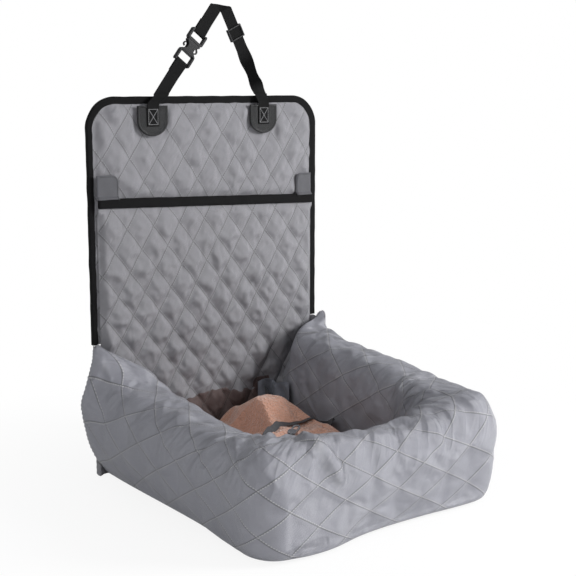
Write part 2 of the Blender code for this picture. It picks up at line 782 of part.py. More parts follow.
def build_rear_wall():
    """Fixed foot of the back, quilted between the walls, and the brown strip at its foot."""
    inner = INNER_HALF_WIDTH - WALL_QUILT_PUFF
    top = FOLD_HEIGHT - FOLD_GAP / 2
    pitch = QUILT_WIDTH / 4

    def puff(x, z):
        fade = ease((inner - pitch - abs(x)) / QUILT_PUFF / 3) * ease((top - z) / QUILT_PUFF / 4)
        beside_anchor = ANCHOR_X - ANCHOR_SIZE / 2 - pitch - x
        above_anchor = z - ANCHOR_HEIGHT - ANCHOR_SIZE / 2 - QUILT_HEIGHT / 4
        fade *= ease(max(beside_anchor, above_anchor) / QUILT_PUFF)
        fade *= ease((z - LINING_HEIGHT) / QUILT_PUFF / 2)
        return QUILT_PUFF * fade * back_quilt(x, z)

    rows = [COVER_TOP + GAP] + quilt_rows(LINING_HEIGHT, top)
    quilted_slab("rear_wall", rows, quilt_columns(BACK_WIDTH / 2), WALL_FRONT_FACE_Y, REAR_Y, puff,
                 "quilted cloth")

    strip_face = WALL_FRONT_FACE_Y - GAP - LINING_THICKNESS / 2

    def strip_puff(x, z):
        fade = ease((inner - abs(x)) / LINING_THICKNESS)
        return LINING_THICKNESS / 2 * fade * back_quilt(x, z)

    strip_rows = quilt_rows(PAD_TOP + GAP, LINING_HEIGHT)
    strip_half = inner - LINING_THICKNESS
    quilted_slab("lining_strip", strip_rows, quilt_columns(strip_half), strip_face,
                 WALL_FRONT_FACE_Y - GAP, strip_puff, "lining cloth")


# Plush cushion


def cushion_height(x, y):
    """Height of the crumpled plush over its flat underside, away from its edge."""
    hump = math.exp(-((x - HUMP_X) / HUMP_WIDTH) ** 2 - ((y - HUMP_Y) / HUMP_DEPTH) ** 2)
    ripple = math.sin(x / RIPPLE_WIDTH + 2 * math.sin(y / RIPPLE_WIDTH / 2))
    ripple *= math.sin(y / RIPPLE_DEPTH + 1)
    hollow = math.exp(-((x - HOLLOW_X) / HOLLOW_SIZE) ** 2 - ((y - HOLLOW_Y) / HOLLOW_SIZE) ** 2)
    return CUSHION_HEIGHT + HUMP_RISE * hump + RIPPLE_RISE * ripple - HOLLOW_DROP * hollow


def cushion_plan():
    """Front, rear and half width of the cushion between the walls."""
    half = INNER_HALF_WIDTH - WALL_QUILT_PUFF - CUSHION_MARGIN
    front = FRONT_Y + WALL_WIDTH + WALL_QUILT_PUFF + CUSHION_MARGIN
    rear = WALL_FRONT_FACE_Y - LINING_THICKNESS - 2 * GAP - CUSHION_MARGIN
    return half, front, rear


def cushion_top(x, y):
    """Height of the top surface in the bed's frame, drawn down to the edge seam."""
    half, front, rear = cushion_plan()
    inside = min(half - abs(x), y - front, rear - y)
    share = ease(inside / CUSHION_EDGE)
    seam = CUSHION_HEIGHT / 3
    return PAD_TOP + GAP + seam + (cushion_height(x, y) - seam) * math.sqrt(share)


def build_cushion():
    """Plush cushion: a crumpled top, drawn down to a seam round its edge."""
    half, front, rear = cushion_plan()
    columns = 22
    rows = 30
    corner = CUSHION_EDGE
    form = bmesh.new()

    def spread(share):
        fine = CUSHION_FINE_SHARE
        if share < fine:
            return share / 2
        if share > 1 - fine:
            return 1 - (1 - share) / 2
        return fine / 2 + (share - fine) / (1 - 2 * fine) * (1 - fine)

    def plan_half(y):
        from_end = min(y - front, rear - y)
        if from_end >= corner:
            return half
        rise = corner - from_end
        return half - corner + math.sqrt(max(0.0, corner * corner - rise * rise))

    top = []
    for row in range(rows + 1):
        y = front + (rear - front) * spread(row / rows)
        line = []
        for column in range(columns + 1):
            x = plan_half(y) * (2 * spread(column / columns) - 1)
            line.append(form.verts.new((x, y, cushion_top(x, y))))
        top.append(line)
    for near, far in zip(top, top[1:]):
        for column in range(columns):
            form.faces.new((near[column], near[column + 1], far[column + 1], far[column]))
    loop = top[0] + [row[-1] for row in top[1:-1]] + top[-1][::-1] + [row[0] for row in top[-2:0:-1]]
    tuck = CUSHION_EDGE / 4
    middle = Vector((0, (front + rear) / 2, 0))
    under = []
    for vertex in loop:
        inward = middle - vertex.co
        inward.z = 0
        inward.normalize()
        under.append(form.verts.new((vertex.co.x + inward.x * tuck, vertex.co.y + inward.y * tuck,
                                     PAD_TOP + GAP)))
    for index in range(len(loop)):
        following = (index + 1) % len(loop)
        form.faces.new((loop[index], loop[following], under[following], under[index]))
    form.faces.new(under)
    return finish_mesh("plush_cushion", form, "plush")


# Strap tabs and webbing


def build_tab(name, middle):
    """U-shaped tab under the binding, its edge rounded over."""
    top = BACK_HEIGHT - BINDING_WIDTH - 2 * GAP
    half = TAB_WIDTH / 2
    straight = TAB_LENGTH - half * TAB_ROUND_SHARE
    outline = [(middle + half, top), (middle - half, top)]
    for step in range(13):
        angle = math.pi * step / 12
        outline.append((middle - half * math.cos(angle),
                        top - straight - half * TAB_ROUND_SHARE * math.sin(angle)))
    near = -(PANEL_FACE_Y - QUILT_PUFF - GAP)
    frame = Matrix(((1, 0, 0, 0), (0, 0, -1, 0), (0, 1, 0, 0), (0, 0, 0, 1)))
    tab = extrude_outline(name, outline, near, near + TAB_THICKNESS, "faux leather", frame)
    soften(tab, TAB_THICKNESS / 3, 1)
    return tab


def ribbon(name, edges, thickness, kind, round_ends=(False, False)):
    """Webbing through pairs of edge points, with round ends where it turns on an axis."""
    middles = [(left + right) / 2 for left, right in edges]
    rings = []
    last = len(edges) - 1
    half = thickness / 2
    for index, (left, right) in enumerate(edges):
        ahead = middles[min(index + 1, last)] - middles[max(index - 1, 0)]
        normal = ahead.cross(right - left).normalized() * half
        along = (right - left).cross(normal).normalized() * half
        if index == 0 and round_ends[0]:
            for angle in (90, 60, 30):
                swell = normal * math.cos(math.radians(angle))
                back = along * math.sin(math.radians(angle))
                rings.append(ribbon_ring(left - back, right - back, swell))
        rings.append(ribbon_ring(left, right, normal))
        if index == last and round_ends[1]:
            for angle in (30, 60, 90):
                swell = normal * math.cos(math.radians(angle))
                back = along * math.sin(math.radians(angle))
                rings.append(ribbon_ring(left + back, right + back, swell))
    return loft(name, rings, kind)


def ribbon_ring(left, right, normal):
    """Four corners of a section of webbing."""
    thin = normal
    if normal.length < GAP / 10:
        thin = normal.normalized() * GAP / 10 if normal.length else Vector((0, GAP / 10, 0))
    return [left + thin, right + thin, right - thin, left - thin]


def strap_frame(start, end, place):
    """Frame on a straight run of the strap: X along it, Y across it, Z out of the back's plane."""
    along = (end - start).normalized()
    out = Vector((0, -1, 0))
    across = out.cross(along)
    turn = Matrix((along, across, out)).transposed().to_4x4()
    return Matrix.Translation(start + along * place) @ turn


def strap_points():
    """Ends of the two straight runs of the head strap."""
    left = Vector((STRAP_LEFT_X, STRAP_Y, STRAP_Z))
    right = Vector((STRAP_RIGHT_X, STRAP_Y, STRAP_Z))
    apex = Vector((APEX_X, STRAP_Y, APEX_HEIGHT))
    return left, right, apex


def run_ends():
    """Centre lines of the runs: each passes half a width outside the inner notch at the apex."""
    left, right, apex = strap_points()
    ends = []
    for foot, side in ((left, -1), (right, 1)):
        reach = apex - foot
        offset = math.asin((WEBBING_WIDTH / 2 + NOTCH_RADIUS) / reach.length)
        turn = Matrix.Rotation(side * offset, 3, "Y")
        along = turn @ reach.normalized()
        ends.append((foot, foot + along * reach.length * math.cos(offset)))
    return ends


def build_sewn_end(name, tab_x, foot, along):
    """Webbing end sewn on a tab, bent towards the free strap at the top edge."""
    face = PANEL_FACE_Y - QUILT_PUFF - 2 * GAP - TAB_THICKNESS
    y = face - WEBBING_THICKNESS / 2
    top = BACK_HEIGHT - BINDING_WIDTH
    low = top - SEWN_LENGTH - SEWN_LENGTH / 6
    half = WEBBING_WIDTH / 2
    end_z = STRAP_Z - WEBBING_THICKNESS / 2 - GAP
    slant = half / abs(along.z)
    edges = []
    for z in (low, (low + top) / 2, top):
        edges.append((Vector((tab_x - half, y, z)), Vector((tab_x + half, y, z))))
    start_z = top
    steps = 6
    for step in range(1, steps + 1):
        share = step / steps
        bend = ease(share)
        z = start_z + (end_z - start_z) * share
        x = tab_x + (foot.x - tab_x) * bend
        reach = half + (slant - half) * bend
        depth = y + (STRAP_Y - y) * bend
        edges.append((Vector((x - reach, depth, z)), Vector((x + reach, depth, z))))
    return ribbon(name, edges, WEBBING_THICKNESS, "webbing")


def bar_wrap(frame, bar_middle, towards, tail, half, radius, reach):
    """Edge pairs that leave a run, wrap a bar and lie back along the rear as the sewn tail."""
    points = []
    for step in range(3):
        share = step / 2
        points.append((bar_middle - towards * (tail * (1 - share) + reach / 2), radius * ease(share)))
    steps = 6
    for step in range(steps + 1):
        angle = math.pi * step / steps
        turned = reach - radius + radius * math.sin(angle)
        points.append((bar_middle + towards * turned, radius * math.cos(angle)))
    for part in (4, 1):
        points.append((bar_middle - towards * tail / part, -radius))
    edges = []
    for u, w in points:
        edges.append((frame @ Vector((u, -half, w)), frame @ Vector((u, half, w))))
    return edges


def strap_start(foot, along):
    """First pairs of a run: a level line on the swing axis, then square to the run."""
    half = WEBBING_WIDTH / 2
    slant = half / abs(along.z)
    across = Vector((0, -1, 0)).cross(along)
    side = 1 if across.x > 0 else -1
    level = (foot - Vector((slant, 0, 0)) * side, foot + Vector((slant, 0, 0)) * side)
    lift = WEBBING_WIDTH
    square = (foot + along * lift - across * half, foot + along * lift + across * half)
    return [level, square]


def build_head_strap():
    """Both webbing runs; returns the frames that carry the buckle and the adjuster."""
    (left_foot, left_top), (right_foot, right_top) = run_ends()
    left_along = (left_top - left_foot).normalized()
    right_along = (right_top - right_foot).normalized()
    buckle = strap_frame(left_foot, left_top, BUCKLE_PLACE - BUCKLE_LENGTH / 2)
    adjuster = strap_frame(right_top, right_foot, ADJUSTER_PLACE)

    half = WEBBING_WIDTH / 2
    wrap = BAR_THICKNESS / 2 + GAP + WEBBING_THICKNESS / 2
    reach = wrap + BAR_LENGTH / 2 - BUCKLE_EDGE
    low_bar = BAR_LENGTH / 2
    edges = strap_start(left_foot, left_along)
    edges += bar_wrap(buckle, low_bar, 1, WEBBING_WIDTH, half, wrap, reach)
    left = ribbon("webbing_left", edges, WEBBING_THICKNESS, "webbing", (True, False))

    high_bar = BUCKLE_LENGTH - BAR_LENGTH / 2
    edges = bar_wrap(buckle, high_bar, -1, WEBBING_WIDTH, half, wrap, reach)[::-1]
    left_across = Vector((0, -1, 0)).cross(left_along)
    right_down = -right_along
    right_across = Vector((0, -1, 0)).cross(right_down)
    notch = Vector((APEX_X, STRAP_Y, APEX_HEIGHT))
    turn_steps = 7
    for step in range(turn_steps + 1):
        share = step / turn_steps
        across = left_across.lerp(right_across, share).normalized()
        tilt = Vector((0, APEX_TILT * math.sin(math.pi * share), 0))
        width = WEBBING_WIDTH * (1 - APEX_DRAW_SHARE * math.sin(math.pi * share))
        inner = notch + across * NOTCH_RADIUS
        edges.append((inner, inner + across * width + tilt))
    run = (right_foot - right_top).length
    last = strap_start(right_foot, right_along)
    for place, twist in zip(TWIST_PLACE_SHARES, TWIST_DEGREES):
        spot = right_top + right_down * run * place
        side = Matrix.Rotation(math.radians(twist), 3, right_down) @ right_across
        edges.append((spot - side * half, spot + side * half))
    level = last[0]
    if (level[1] - level[0]).dot(edges[-1][1] - edges[-1][0]) < 0:
        level = (level[1], level[0])
    edges.append(level)
    right = ribbon("webbing_right", edges, WEBBING_THICKNESS, "webbing", (False, True))
    sewn = [build_sewn_end("webbing_end_left", LEFT_TAB_X, left_foot, left_along),
            build_sewn_end("webbing_end_right", RIGHT_TAB_X, right_foot, right_along)]
    return buckle, adjuster, sewn, [left, right]


def side_outline(shares, start, end, half):
    """Closed outline from a table of half widths along a piece."""
    side = [(start + (end - start) * along, half * across) for along, across in shares]
    return side + [(u, -v) for u, v in reversed(side)]


def prong_point(shares):
    """Place on a prong's centre line, along the socket and out from its middle."""
    return SOCKET_LENGTH * shares[0], BUCKLE_WIDTH / 2 * shares[1]


def build_buckle(frame):
    """Socket, plug and the two squeeze prongs, in a frame that runs from the socket to the plug."""
    half = BUCKLE_WIDTH / 2
    thick = BUCKLE_THICKNESS / 2
    outline = side_outline(SOCKET_SIDE_SHARES, 0, SOCKET_LENGTH, half)
    socket = extrude_outline("buckle_socket", outline, -thick, thick, "plastic", frame)
    slot_half = half - RAIL_WIDTH
    bar = BAR_THICKNESS / 2
    body_start = SOCKET_FRAME_LENGTH
    cuts = [
        cutter_box("socket_slot", (BAR_LENGTH, -slot_half, -thick - OVERRUN),
                   (body_start, slot_half, thick + OVERRUN), frame),
        cutter_box("socket_bar_front", (-OVERRUN, -slot_half, bar),
                   (BAR_LENGTH + OVERRUN, slot_half, thick + OVERRUN), frame),
        cutter_box("socket_bar_rear", (-OVERRUN, -slot_half, -thick - OVERRUN),
                   (BAR_LENGTH + OVERRUN, slot_half, -bar), frame),
        cutter_box("socket_cavity", (body_start + RAIL_WIDTH, -SOCKET_CAVITY_WIDTH / 2, -SOCKET_CAVITY_HEIGHT / 2),
                   (SOCKET_LENGTH + OVERRUN, SOCKET_CAVITY_WIDTH / 2, SOCKET_CAVITY_HEIGHT / 2), frame),
    ]
    for cut in cuts:
        combine(socket, cut, "DIFFERENCE")
    soften(socket, BUCKLE_EDGE, 1)

    start = SOCKET_LENGTH + GAP
    frame_start = BUCKLE_LENGTH - PLUG_FRAME_LENGTH + BAR_LENGTH
    outline = side_outline(PLUG_SIDE_SHARES, start, BUCKLE_LENGTH, half)
    plug = extrude_outline("buckle_plug", outline, -thick, thick, "plastic", frame)
    spine_height = SOCKET_CAVITY_HEIGHT / 2 - 2 * GAP
    spine = cutter_box("plug_spine", (body_start + RAIL_WIDTH + BAR_LENGTH, -SPINE_WIDTH / 2, -spine_height),
                       (start + BAR_LENGTH / 2, SPINE_WIDTH / 2, spine_height), frame)
    combine(plug, spine, "UNION")
    cuts = [
        cutter_box("plug_slot", (frame_start, -slot_half, -thick - OVERRUN),
                   (BUCKLE_LENGTH - BAR_LENGTH, slot_half, thick + OVERRUN), frame),
        cutter_box("plug_bar_front", (BUCKLE_LENGTH - BAR_LENGTH - OVERRUN, -slot_half, bar),
                   (BUCKLE_LENGTH + OVERRUN, slot_half, thick + OVERRUN), frame),
        cutter_box("plug_bar_rear", (BUCKLE_LENGTH - BAR_LENGTH - OVERRUN, -slot_half, -thick - OVERRUN),
                   (BUCKLE_LENGTH + OVERRUN, slot_half, -bar), frame),
    ]
    root, root_v = prong_point(PRONG_PATH_SHARES[0])
    for side_sign in (-1, 1):
        centre = Vector((root, side_sign * root_v, 0))
        recess = rod(f"prong_seat_{side_sign}", frame @ (centre - Vector((0, 0, spine_height + 2 * GAP))),
                     frame @ (centre + Vector((0, 0, spine_height + 2 * GAP))),
                     PRONG_KNUCKLE_RADIUS + GAP, "plastic")
        throat = cutter_box(f"prong_throat_{side_sign}",
                            (start - OVERRUN, side_sign * root_v - PRONG_WIDTH, -spine_height - 2 * GAP),
                            (root, side_sign * root_v + PRONG_WIDTH, spine_height + 2 * GAP), frame)
        cuts += [recess, throat]
    for cut in cuts:
        combine(plug, cut, "DIFFERENCE")
    soften(plug, BUCKLE_EDGE, 1)

    prongs = []
    for name, side_sign in (("prong_left", 1), ("prong_right", -1)):
        prong = build_prong(name, frame, side_sign, spine_height)
        axis_place = frame @ Vector((root, side_sign * root_v, 0))
        prongs.append((prong, (axis_place, frame.to_3x3())))
    return socket, plug, prongs


def build_prong(name, frame, side, height):
    """Bowed prong: its round root turns in the plug, its bow shows in the socket's side window."""
    path = [prong_point(shares) for shares in PRONG_PATH_SHARES]
    root, root_v = path[0]
    outer = []
    inner = []
    count = len(path)
    for index, (u, v) in enumerate(path):
        before = Vector(path[max(index - 1, 0)])
        after = Vector(path[min(index + 1, count - 1)])
        along = (after - before).normalized()
        normal = Vector((-along.y, along.x)) * PRONG_WIDTH / 2
        outer.append((u + normal.x, v + normal.y))
        inner.append((u - normal.x, v - normal.y))
    outline = inner + outer[::-1]
    outline = [(u, side * v) for u, v in outline]
    prong = extrude_outline(name, outline, -height, height, "plastic", frame)
    knuckle = rod(f"{name}_knuckle", frame @ Vector((root, side * root_v, -height)),
                  frame @ Vector((root, side * root_v, height)), PRONG_KNUCKLE_RADIUS, "plastic")
    combine(prong, knuckle, "UNION")
    return prong


def cell_solid(name, stations, filled, kind, frame):
    """Closed solid of the filled cells of a grid whose planes stand at the given stations."""
    form = bmesh.new()
    corners = {}
    sizes = [len(row) - 1 for row in stations]

    def corner(index):
        if index not in corners:
            corners[index] = form.verts.new([row[place] for row, place in zip(stations, index)])
        return corners[index]

    def is_filled(cell):
        inside = all(0 <= place < size for place, size in zip(cell, sizes))
        return inside and filled(*cell)

    for cell in ((i, j, k) for i in range(sizes[0]) for j in range(sizes[1]) for k in range(sizes[2])):
        if not is_filled(cell):
            continue
        for axis in range(3):
            for side in (0, 1):
                neighbour = list(cell)
                neighbour[axis] += 2 * side - 1
                if is_filled(tuple(neighbour)):
                    continue
                ring = []
                for first, second in ((0, 0), (1, 0), (1, 1), (0, 1)):
                    index = list(cell)
                    index[axis] += side
                    index[(axis + 1) % 3] += first
                    index[(axis + 2) % 3] += second
                    ring.append(corner(tuple(index)))
                form.faces.new(ring)
    bmesh.ops.transform(form, matrix=frame, verts=form.verts[:])
    return finish_mesh(name, form, kind, smooth=False)


def build_adjuster(frame):
    """Three-bar adjuster: webbing runs behind the outer bars and in front of the middle bar."""
    length = ADJUSTER_LENGTH / 2
    width = ADJUSTER_WIDTH / 2
    thick = ADJUSTER_THICKNESS / 2
    slot = WEBBING_WIDTH / 2 + 2 * GAP
    clear = WEBBING_THICKNESS / 2 + GAP
    bar = ADJUSTER_BAR
    stations = (
        (-length, bar - length, -bar / 2, bar / 2, length - bar, length),
        (-width, -slot, slot, width),
        (-thick, -clear, clear, thick),
    )

    def filled(along, across, out):
        rail = across != 1
        outer_bar = along in (0, 4) and out == 2
        middle_bar = along == 2 and out == 0
        return rail or outer_bar or middle_bar

    adjuster = cell_solid("strap_adjuster", stations, filled, "plastic", frame)
    soften(adjuster, BUCKLE_EDGE, 2)
    return adjuster


# Tether and snap hook


def smooth_route(points, steps):
    """Read a smooth curve through the points, steps to each span."""
    spots = [Vector(point) for point in points]
    route = []
    for index in range(len(spots) - 1):
        before = spots[max(index - 1, 0)]
        start = spots[index]
        end = spots[index + 1]
        after = spots[min(index + 2, len(spots) - 1)]
        for step in range(steps):
            t = step / steps
            bend = (2 * before - 5 * start + 4 * end - after) * t * t
            twist = (3 * start - before - 3 * end + after) * t ** 3
            route.append((2 * start + (end - before) * t + bend + twist) / 2)
    route.append(spots[-1])
    return route


def surface_under(spot, across, half):
    """Highest point of the cushion under a strip of webbing."""
    return max(cushion_top(spot.x + across.x * half * side / 2, spot.y + across.y * half * side / 2)
               for side in range(-2, 3))


def hook_frame():
    """Frame of the snap hook: X along its swivel axis, Z up out of the cushion."""
    heading = math.radians(HOOK_HEADING)
    rise = math.radians(HOOK_RISE)
    along = Vector((math.cos(heading) * math.cos(rise), math.sin(heading) * math.cos(rise), math.sin(rise)))
    across = Vector((0, 0, 1)).cross(along).normalized()
    up = along.cross(across)
    base = Vector((HOOK_X, HOOK_Y, PAD_TOP + GAP + CUSHION_HEIGHT + HOOK_LIFT))
    turn = Matrix((along, across, up)).transposed().to_4x4()
    return Matrix.Translation(base) @ turn


def build_tether(frame):
    """Tether strap: from its anchor on the rear wall over the cushion and round the hook's eye."""
    half = TETHER_WIDTH / 2
    low = ANCHOR_HEIGHT - ANCHOR_SIZE / 2
    outline = [(ANCHOR_X + ANCHOR_SIZE / 2 * u, low + ANCHOR_SIZE * v) for u, v in ((-1, 0), (1, 0), (1, 1), (-1, 1))]
    upright = Matrix(((1, 0, 0, 0), (0, 0, -1, 0), (0, 1, 0, 0), (0, 0, 0, 1)))
    near = -(WALL_FRONT_FACE_Y - GAP)
    extrude_outline("tether_anchor", outline, near, near + ANCHOR_THICKNESS, "webbing", upright)

    start_y = WALL_FRONT_FACE_Y - 2 * GAP - ANCHOR_THICKNESS
    lean = math.radians(TETHER_ROUTE[0][2])
    across = Vector((math.cos(lean), 0, -math.sin(lean)))
    start = Vector((ANCHOR_X, start_y, ANCHOR_HEIGHT))
    edges = [(start + across * half, start - across * half)]
    route = smooth_route(TETHER_ROUTE, 3)
    last = len(route) - 1
    for index, spot in enumerate(route):
        before = route[max(index - 1, 0)]
        after = route[min(index + 1, last)]
        ahead = Vector((after.x - before.x, after.y - before.y, 0)).normalized()
        level = Vector((-ahead.y, ahead.x, 0))
        lean = math.radians(spot.z)
        across = level * math.cos(lean) + Vector((0, 0, 1)) * math.sin(lean)
        rest = surface_under(spot, level * math.cos(lean), half)
        rest += TETHER_CLEARANCE + half * math.sin(lean)
        opening = ease(1 - index / 6)
        height = rest + max(0.0, ANCHOR_HEIGHT - rest) * opening
        middle = Vector((spot.x, spot.y, height))
        edges.append((middle - across * half, middle + across * half))
    wrap = EYE_WIRE / 2 + GAP + TETHER_THICKNESS / 2
    around = bar_wrap(frame, -EYE_LENGTH, 1, TETHER_TAIL, half, wrap, wrap)
    if (around[0][1] - around[0][0]).dot(edges[-1][1] - edges[-1][0]) < 0:
        around = [(right, left) for left, right in around]
    edges += around
    return ribbon("tether_strap", edges, TETHER_THICKNESS, "webbing")


def planar_wire(name, path, radius, kind, frame, closed=False, sides=10):
    """Round wire along a path in the frame's first two axes."""
    count = len(path)
    rings = []
    for index, (u, v) in enumerate(path):
        before = path[(index - 1) % count] if closed or index else path[index]
        after = path[(index + 1) % count] if closed or index < count - 1 else path[index]
        along = Vector((after[0] - before[0], after[1] - before[1])).normalized()
        ring = []
        for side in range(sides):
            angle = 2 * math.pi * side / sides
            out = radius * math.cos(angle)
            ring.append(frame @ Vector((u - along.y * out, v + along.x * out, radius * math.sin(angle))))
        rings.append(ring)
    return loft(name, rings, kind, closed)


def rounded_box(half_u, half_v, radius, middle_u=0.0, steps=4):
    """Outline of a rectangle with round corners, about a middle on the first axis."""
    outline = []
    for index, (side_u, side_v) in enumerate(((-1, -1), (1, -1), (1, 1), (-1, 1))):
        for step in range(steps + 1):
            angle = math.pi + math.pi / 2 * (index + step / steps)
            outline.append((middle_u + side_u * (half_u - radius) + radius * math.cos(angle),
                            side_v * (half_v - radius) + radius * math.sin(angle)))
    return outline


def turned_ring(name, start, end, inner, outer, kind, frame, sides=18):
    """Ring turned about the frame's first axis."""
    rings = []
    for side in range(sides):
        angle = 2 * math.pi * side / sides
        rings.append([frame @ Vector((u, radius * math.cos(angle), radius * math.sin(angle)))
                      for u, radius in ((start, inner), (end, inner), (end, outer), (start, outer))])
    return loft(name, rings, kind, closed=True)


def build_snap_hook(frame):
    """Swivel eye, hook with its barrel and open mouth, and the sliding bolt that shuts it."""
    boss_start = -EYE_WIRE / 2
    boss_end = boss_start + EYE_BOSS_LENGTH
    eye = turned_ring("snap_eye", boss_start, boss_end, PIN_RADIUS + GAP, EYE_BOSS_RADIUS, "steel", frame)
    eye_half = TETHER_WIDTH / 2 + EYE_WIRE
    seat = (PIN_RADIUS + GAP + EYE_BOSS_RADIUS) / 2 + GAP
    corners = rounded_box(EYE_LENGTH / 2, eye_half, EYE_LENGTH / 3, -EYE_LENGTH / 2)
    right_half = [spot for spot in corners if spot[1] < 0]
    left_half = [spot for spot in corners if spot[1] > 0]
    right_half.sort(key=lambda spot: math.atan2(spot[1], spot[0] + EYE_LENGTH / 2), reverse=True)
    left_half.sort(key=lambda spot: math.atan2(spot[1], spot[0] + EYE_LENGTH / 2), reverse=True)
    path = [(0, -seat)] + right_half + left_half + [(0, seat)]
    combine(eye, planar_wire("eye_loop", path, EYE_WIRE / 2, "steel", frame), "UNION")

    barrel_start = boss_end + GAP
    barrel_end = barrel_start + HOOK_BARREL_LENGTH
    half_width = HOOK_WIDTH / 2
    depth = HOOK_BARREL_DEPTH / 2
    outline = rounded_box(HOOK_BARREL_LENGTH / 2, half_width, HOOK_WIRE / 2, (barrel_start + barrel_end) / 2)
    hook = extrude_outline("snap_hook", outline, -depth, depth, "steel", frame, smooth=True)
    head_end = boss_start - GAP
    stem = rod("hook_stem", frame @ Vector((head_end - PIN_RADIUS / 2, 0, 0)),
               frame @ Vector((barrel_start + PIN_RADIUS, 0, 0)), PIN_RADIUS, "steel")
    head = rod("hook_head", frame @ Vector((head_end - PIN_RADIUS, 0, 0)), frame @ Vector((head_end, 0, 0)),
               PIN_RADIUS * HEAD_SHARE, "steel")
    wire = HOOK_WIRE / 2
    spine = half_width - wire
    bend = barrel_end + MOUTH_LENGTH + wire / 2
    path = [(barrel_end - wire, -spine), (barrel_end + wire, -spine)]
    for step in range(13):
        angle = math.pi * step / 12 - math.pi / 2
        path.append((bend + spine * math.cos(angle), spine * math.sin(angle)))
    path.append((barrel_end + MOUTH_LENGTH, spine))
    jaw = planar_wire("hook_jaw", path, wire, "steel", frame)
    for joined in (stem, head, jaw):
        combine(hook, joined, "UNION")
    bolt_rear = barrel_end - KNOB_RADIUS * 2
    bore_start = bolt_rear - BOLT_TRAVEL - GAP
    channel = rod("bolt_bore", frame @ Vector((bore_start, spine, 0)),
                  frame @ Vector((barrel_end + OVERRUN, spine, 0)), BOLT_RADIUS + GAP, "steel")
    knob_place = barrel_end - KNOB_RADIUS
    slot_half = KNOB_RADIUS + GAP
    slot = cutter_box("knob_slot", (knob_place - BOLT_TRAVEL - slot_half, spine, -slot_half),
                      (barrel_end + OVERRUN, half_width + OVERRUN, slot_half), frame)
    for cut in (channel, slot):
        combine(hook, cut, "DIFFERENCE")
    soften(hook, GAP, 1)

    bolt = rod("snap_bolt", frame @ Vector((bolt_rear, spine, 0)),
               frame @ Vector((barrel_end + MOUTH_LENGTH - GAP, spine, 0)), BOLT_RADIUS, "steel")
    knob = rod("bolt_knob", frame @ Vector((knob_place, spine, 0)),
               frame @ Vector((knob_place, half_width + KNOB_HEIGHT, 0)), KNOB_RADIUS, "steel")
    combine(bolt, knob, "UNION")
    return hook, bolt


def main():
    """Build every piece of the seat and hang the moving ones on their axes."""
    clear_scene()
    build_floor()
    build_side_wall("left_wall", -1, LEFT_CROWN_SHARES)
    build_side_wall("right_wall", 1, RIGHT_CROWN_SHARES)
    build_front_wall()
    build_rear_wall()
    build_cushion()
    folding = [build_back_panel(), build_edge_binding()]
    folding += build_pocket()
    folding.append(build_tab("strap_tab_left", LEFT_TAB_X))
    folding.append(build_tab("strap_tab_right", RIGHT_TAB_X))
    buckle, adjuster, sewn, webbing = build_head_strap()
    folding += sewn
    socket, plug, prongs = build_buckle(buckle)
    slider = build_adjuster(adjuster)
    hook_axis = hook_frame()
    build_tether(hook_axis)
    hook, bolt = build_snap_hook(hook_axis)

    fold = pivot("fold_axis", Vector((0, FOLD_AXIS_Y, FOLD_AXIS_Z)), folding)
    strap = webbing + [socket, plug]
    swing = pivot("strap_swing_axis", Vector((0, STRAP_Y, STRAP_Z)), strap, carrier=fold)
    for prong, (place, turn) in prongs:
        pivot(f"{prong.name}_axis", place, [prong], turn, swing)
    pivot("adjuster_run", adjuster.translation, [slider], adjuster.to_3x3(), swing)
    pivot("swivel_axis", hook_axis.translation, [hook, bolt], hook_axis.to_3x3())


main()
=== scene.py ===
# %% [markdown]
# # A dog car seat, dressed over its frame
# The seat is a quilted bed with three stuffed walls, a folding quilted back, a head strap with a
# buckle, and a tether. The rigid pieces come ready from the frame and only get finishes here. All
# the cloth is made in this file, because cloth looks right only with its own folds.

# %% Load the frame
import json
import math

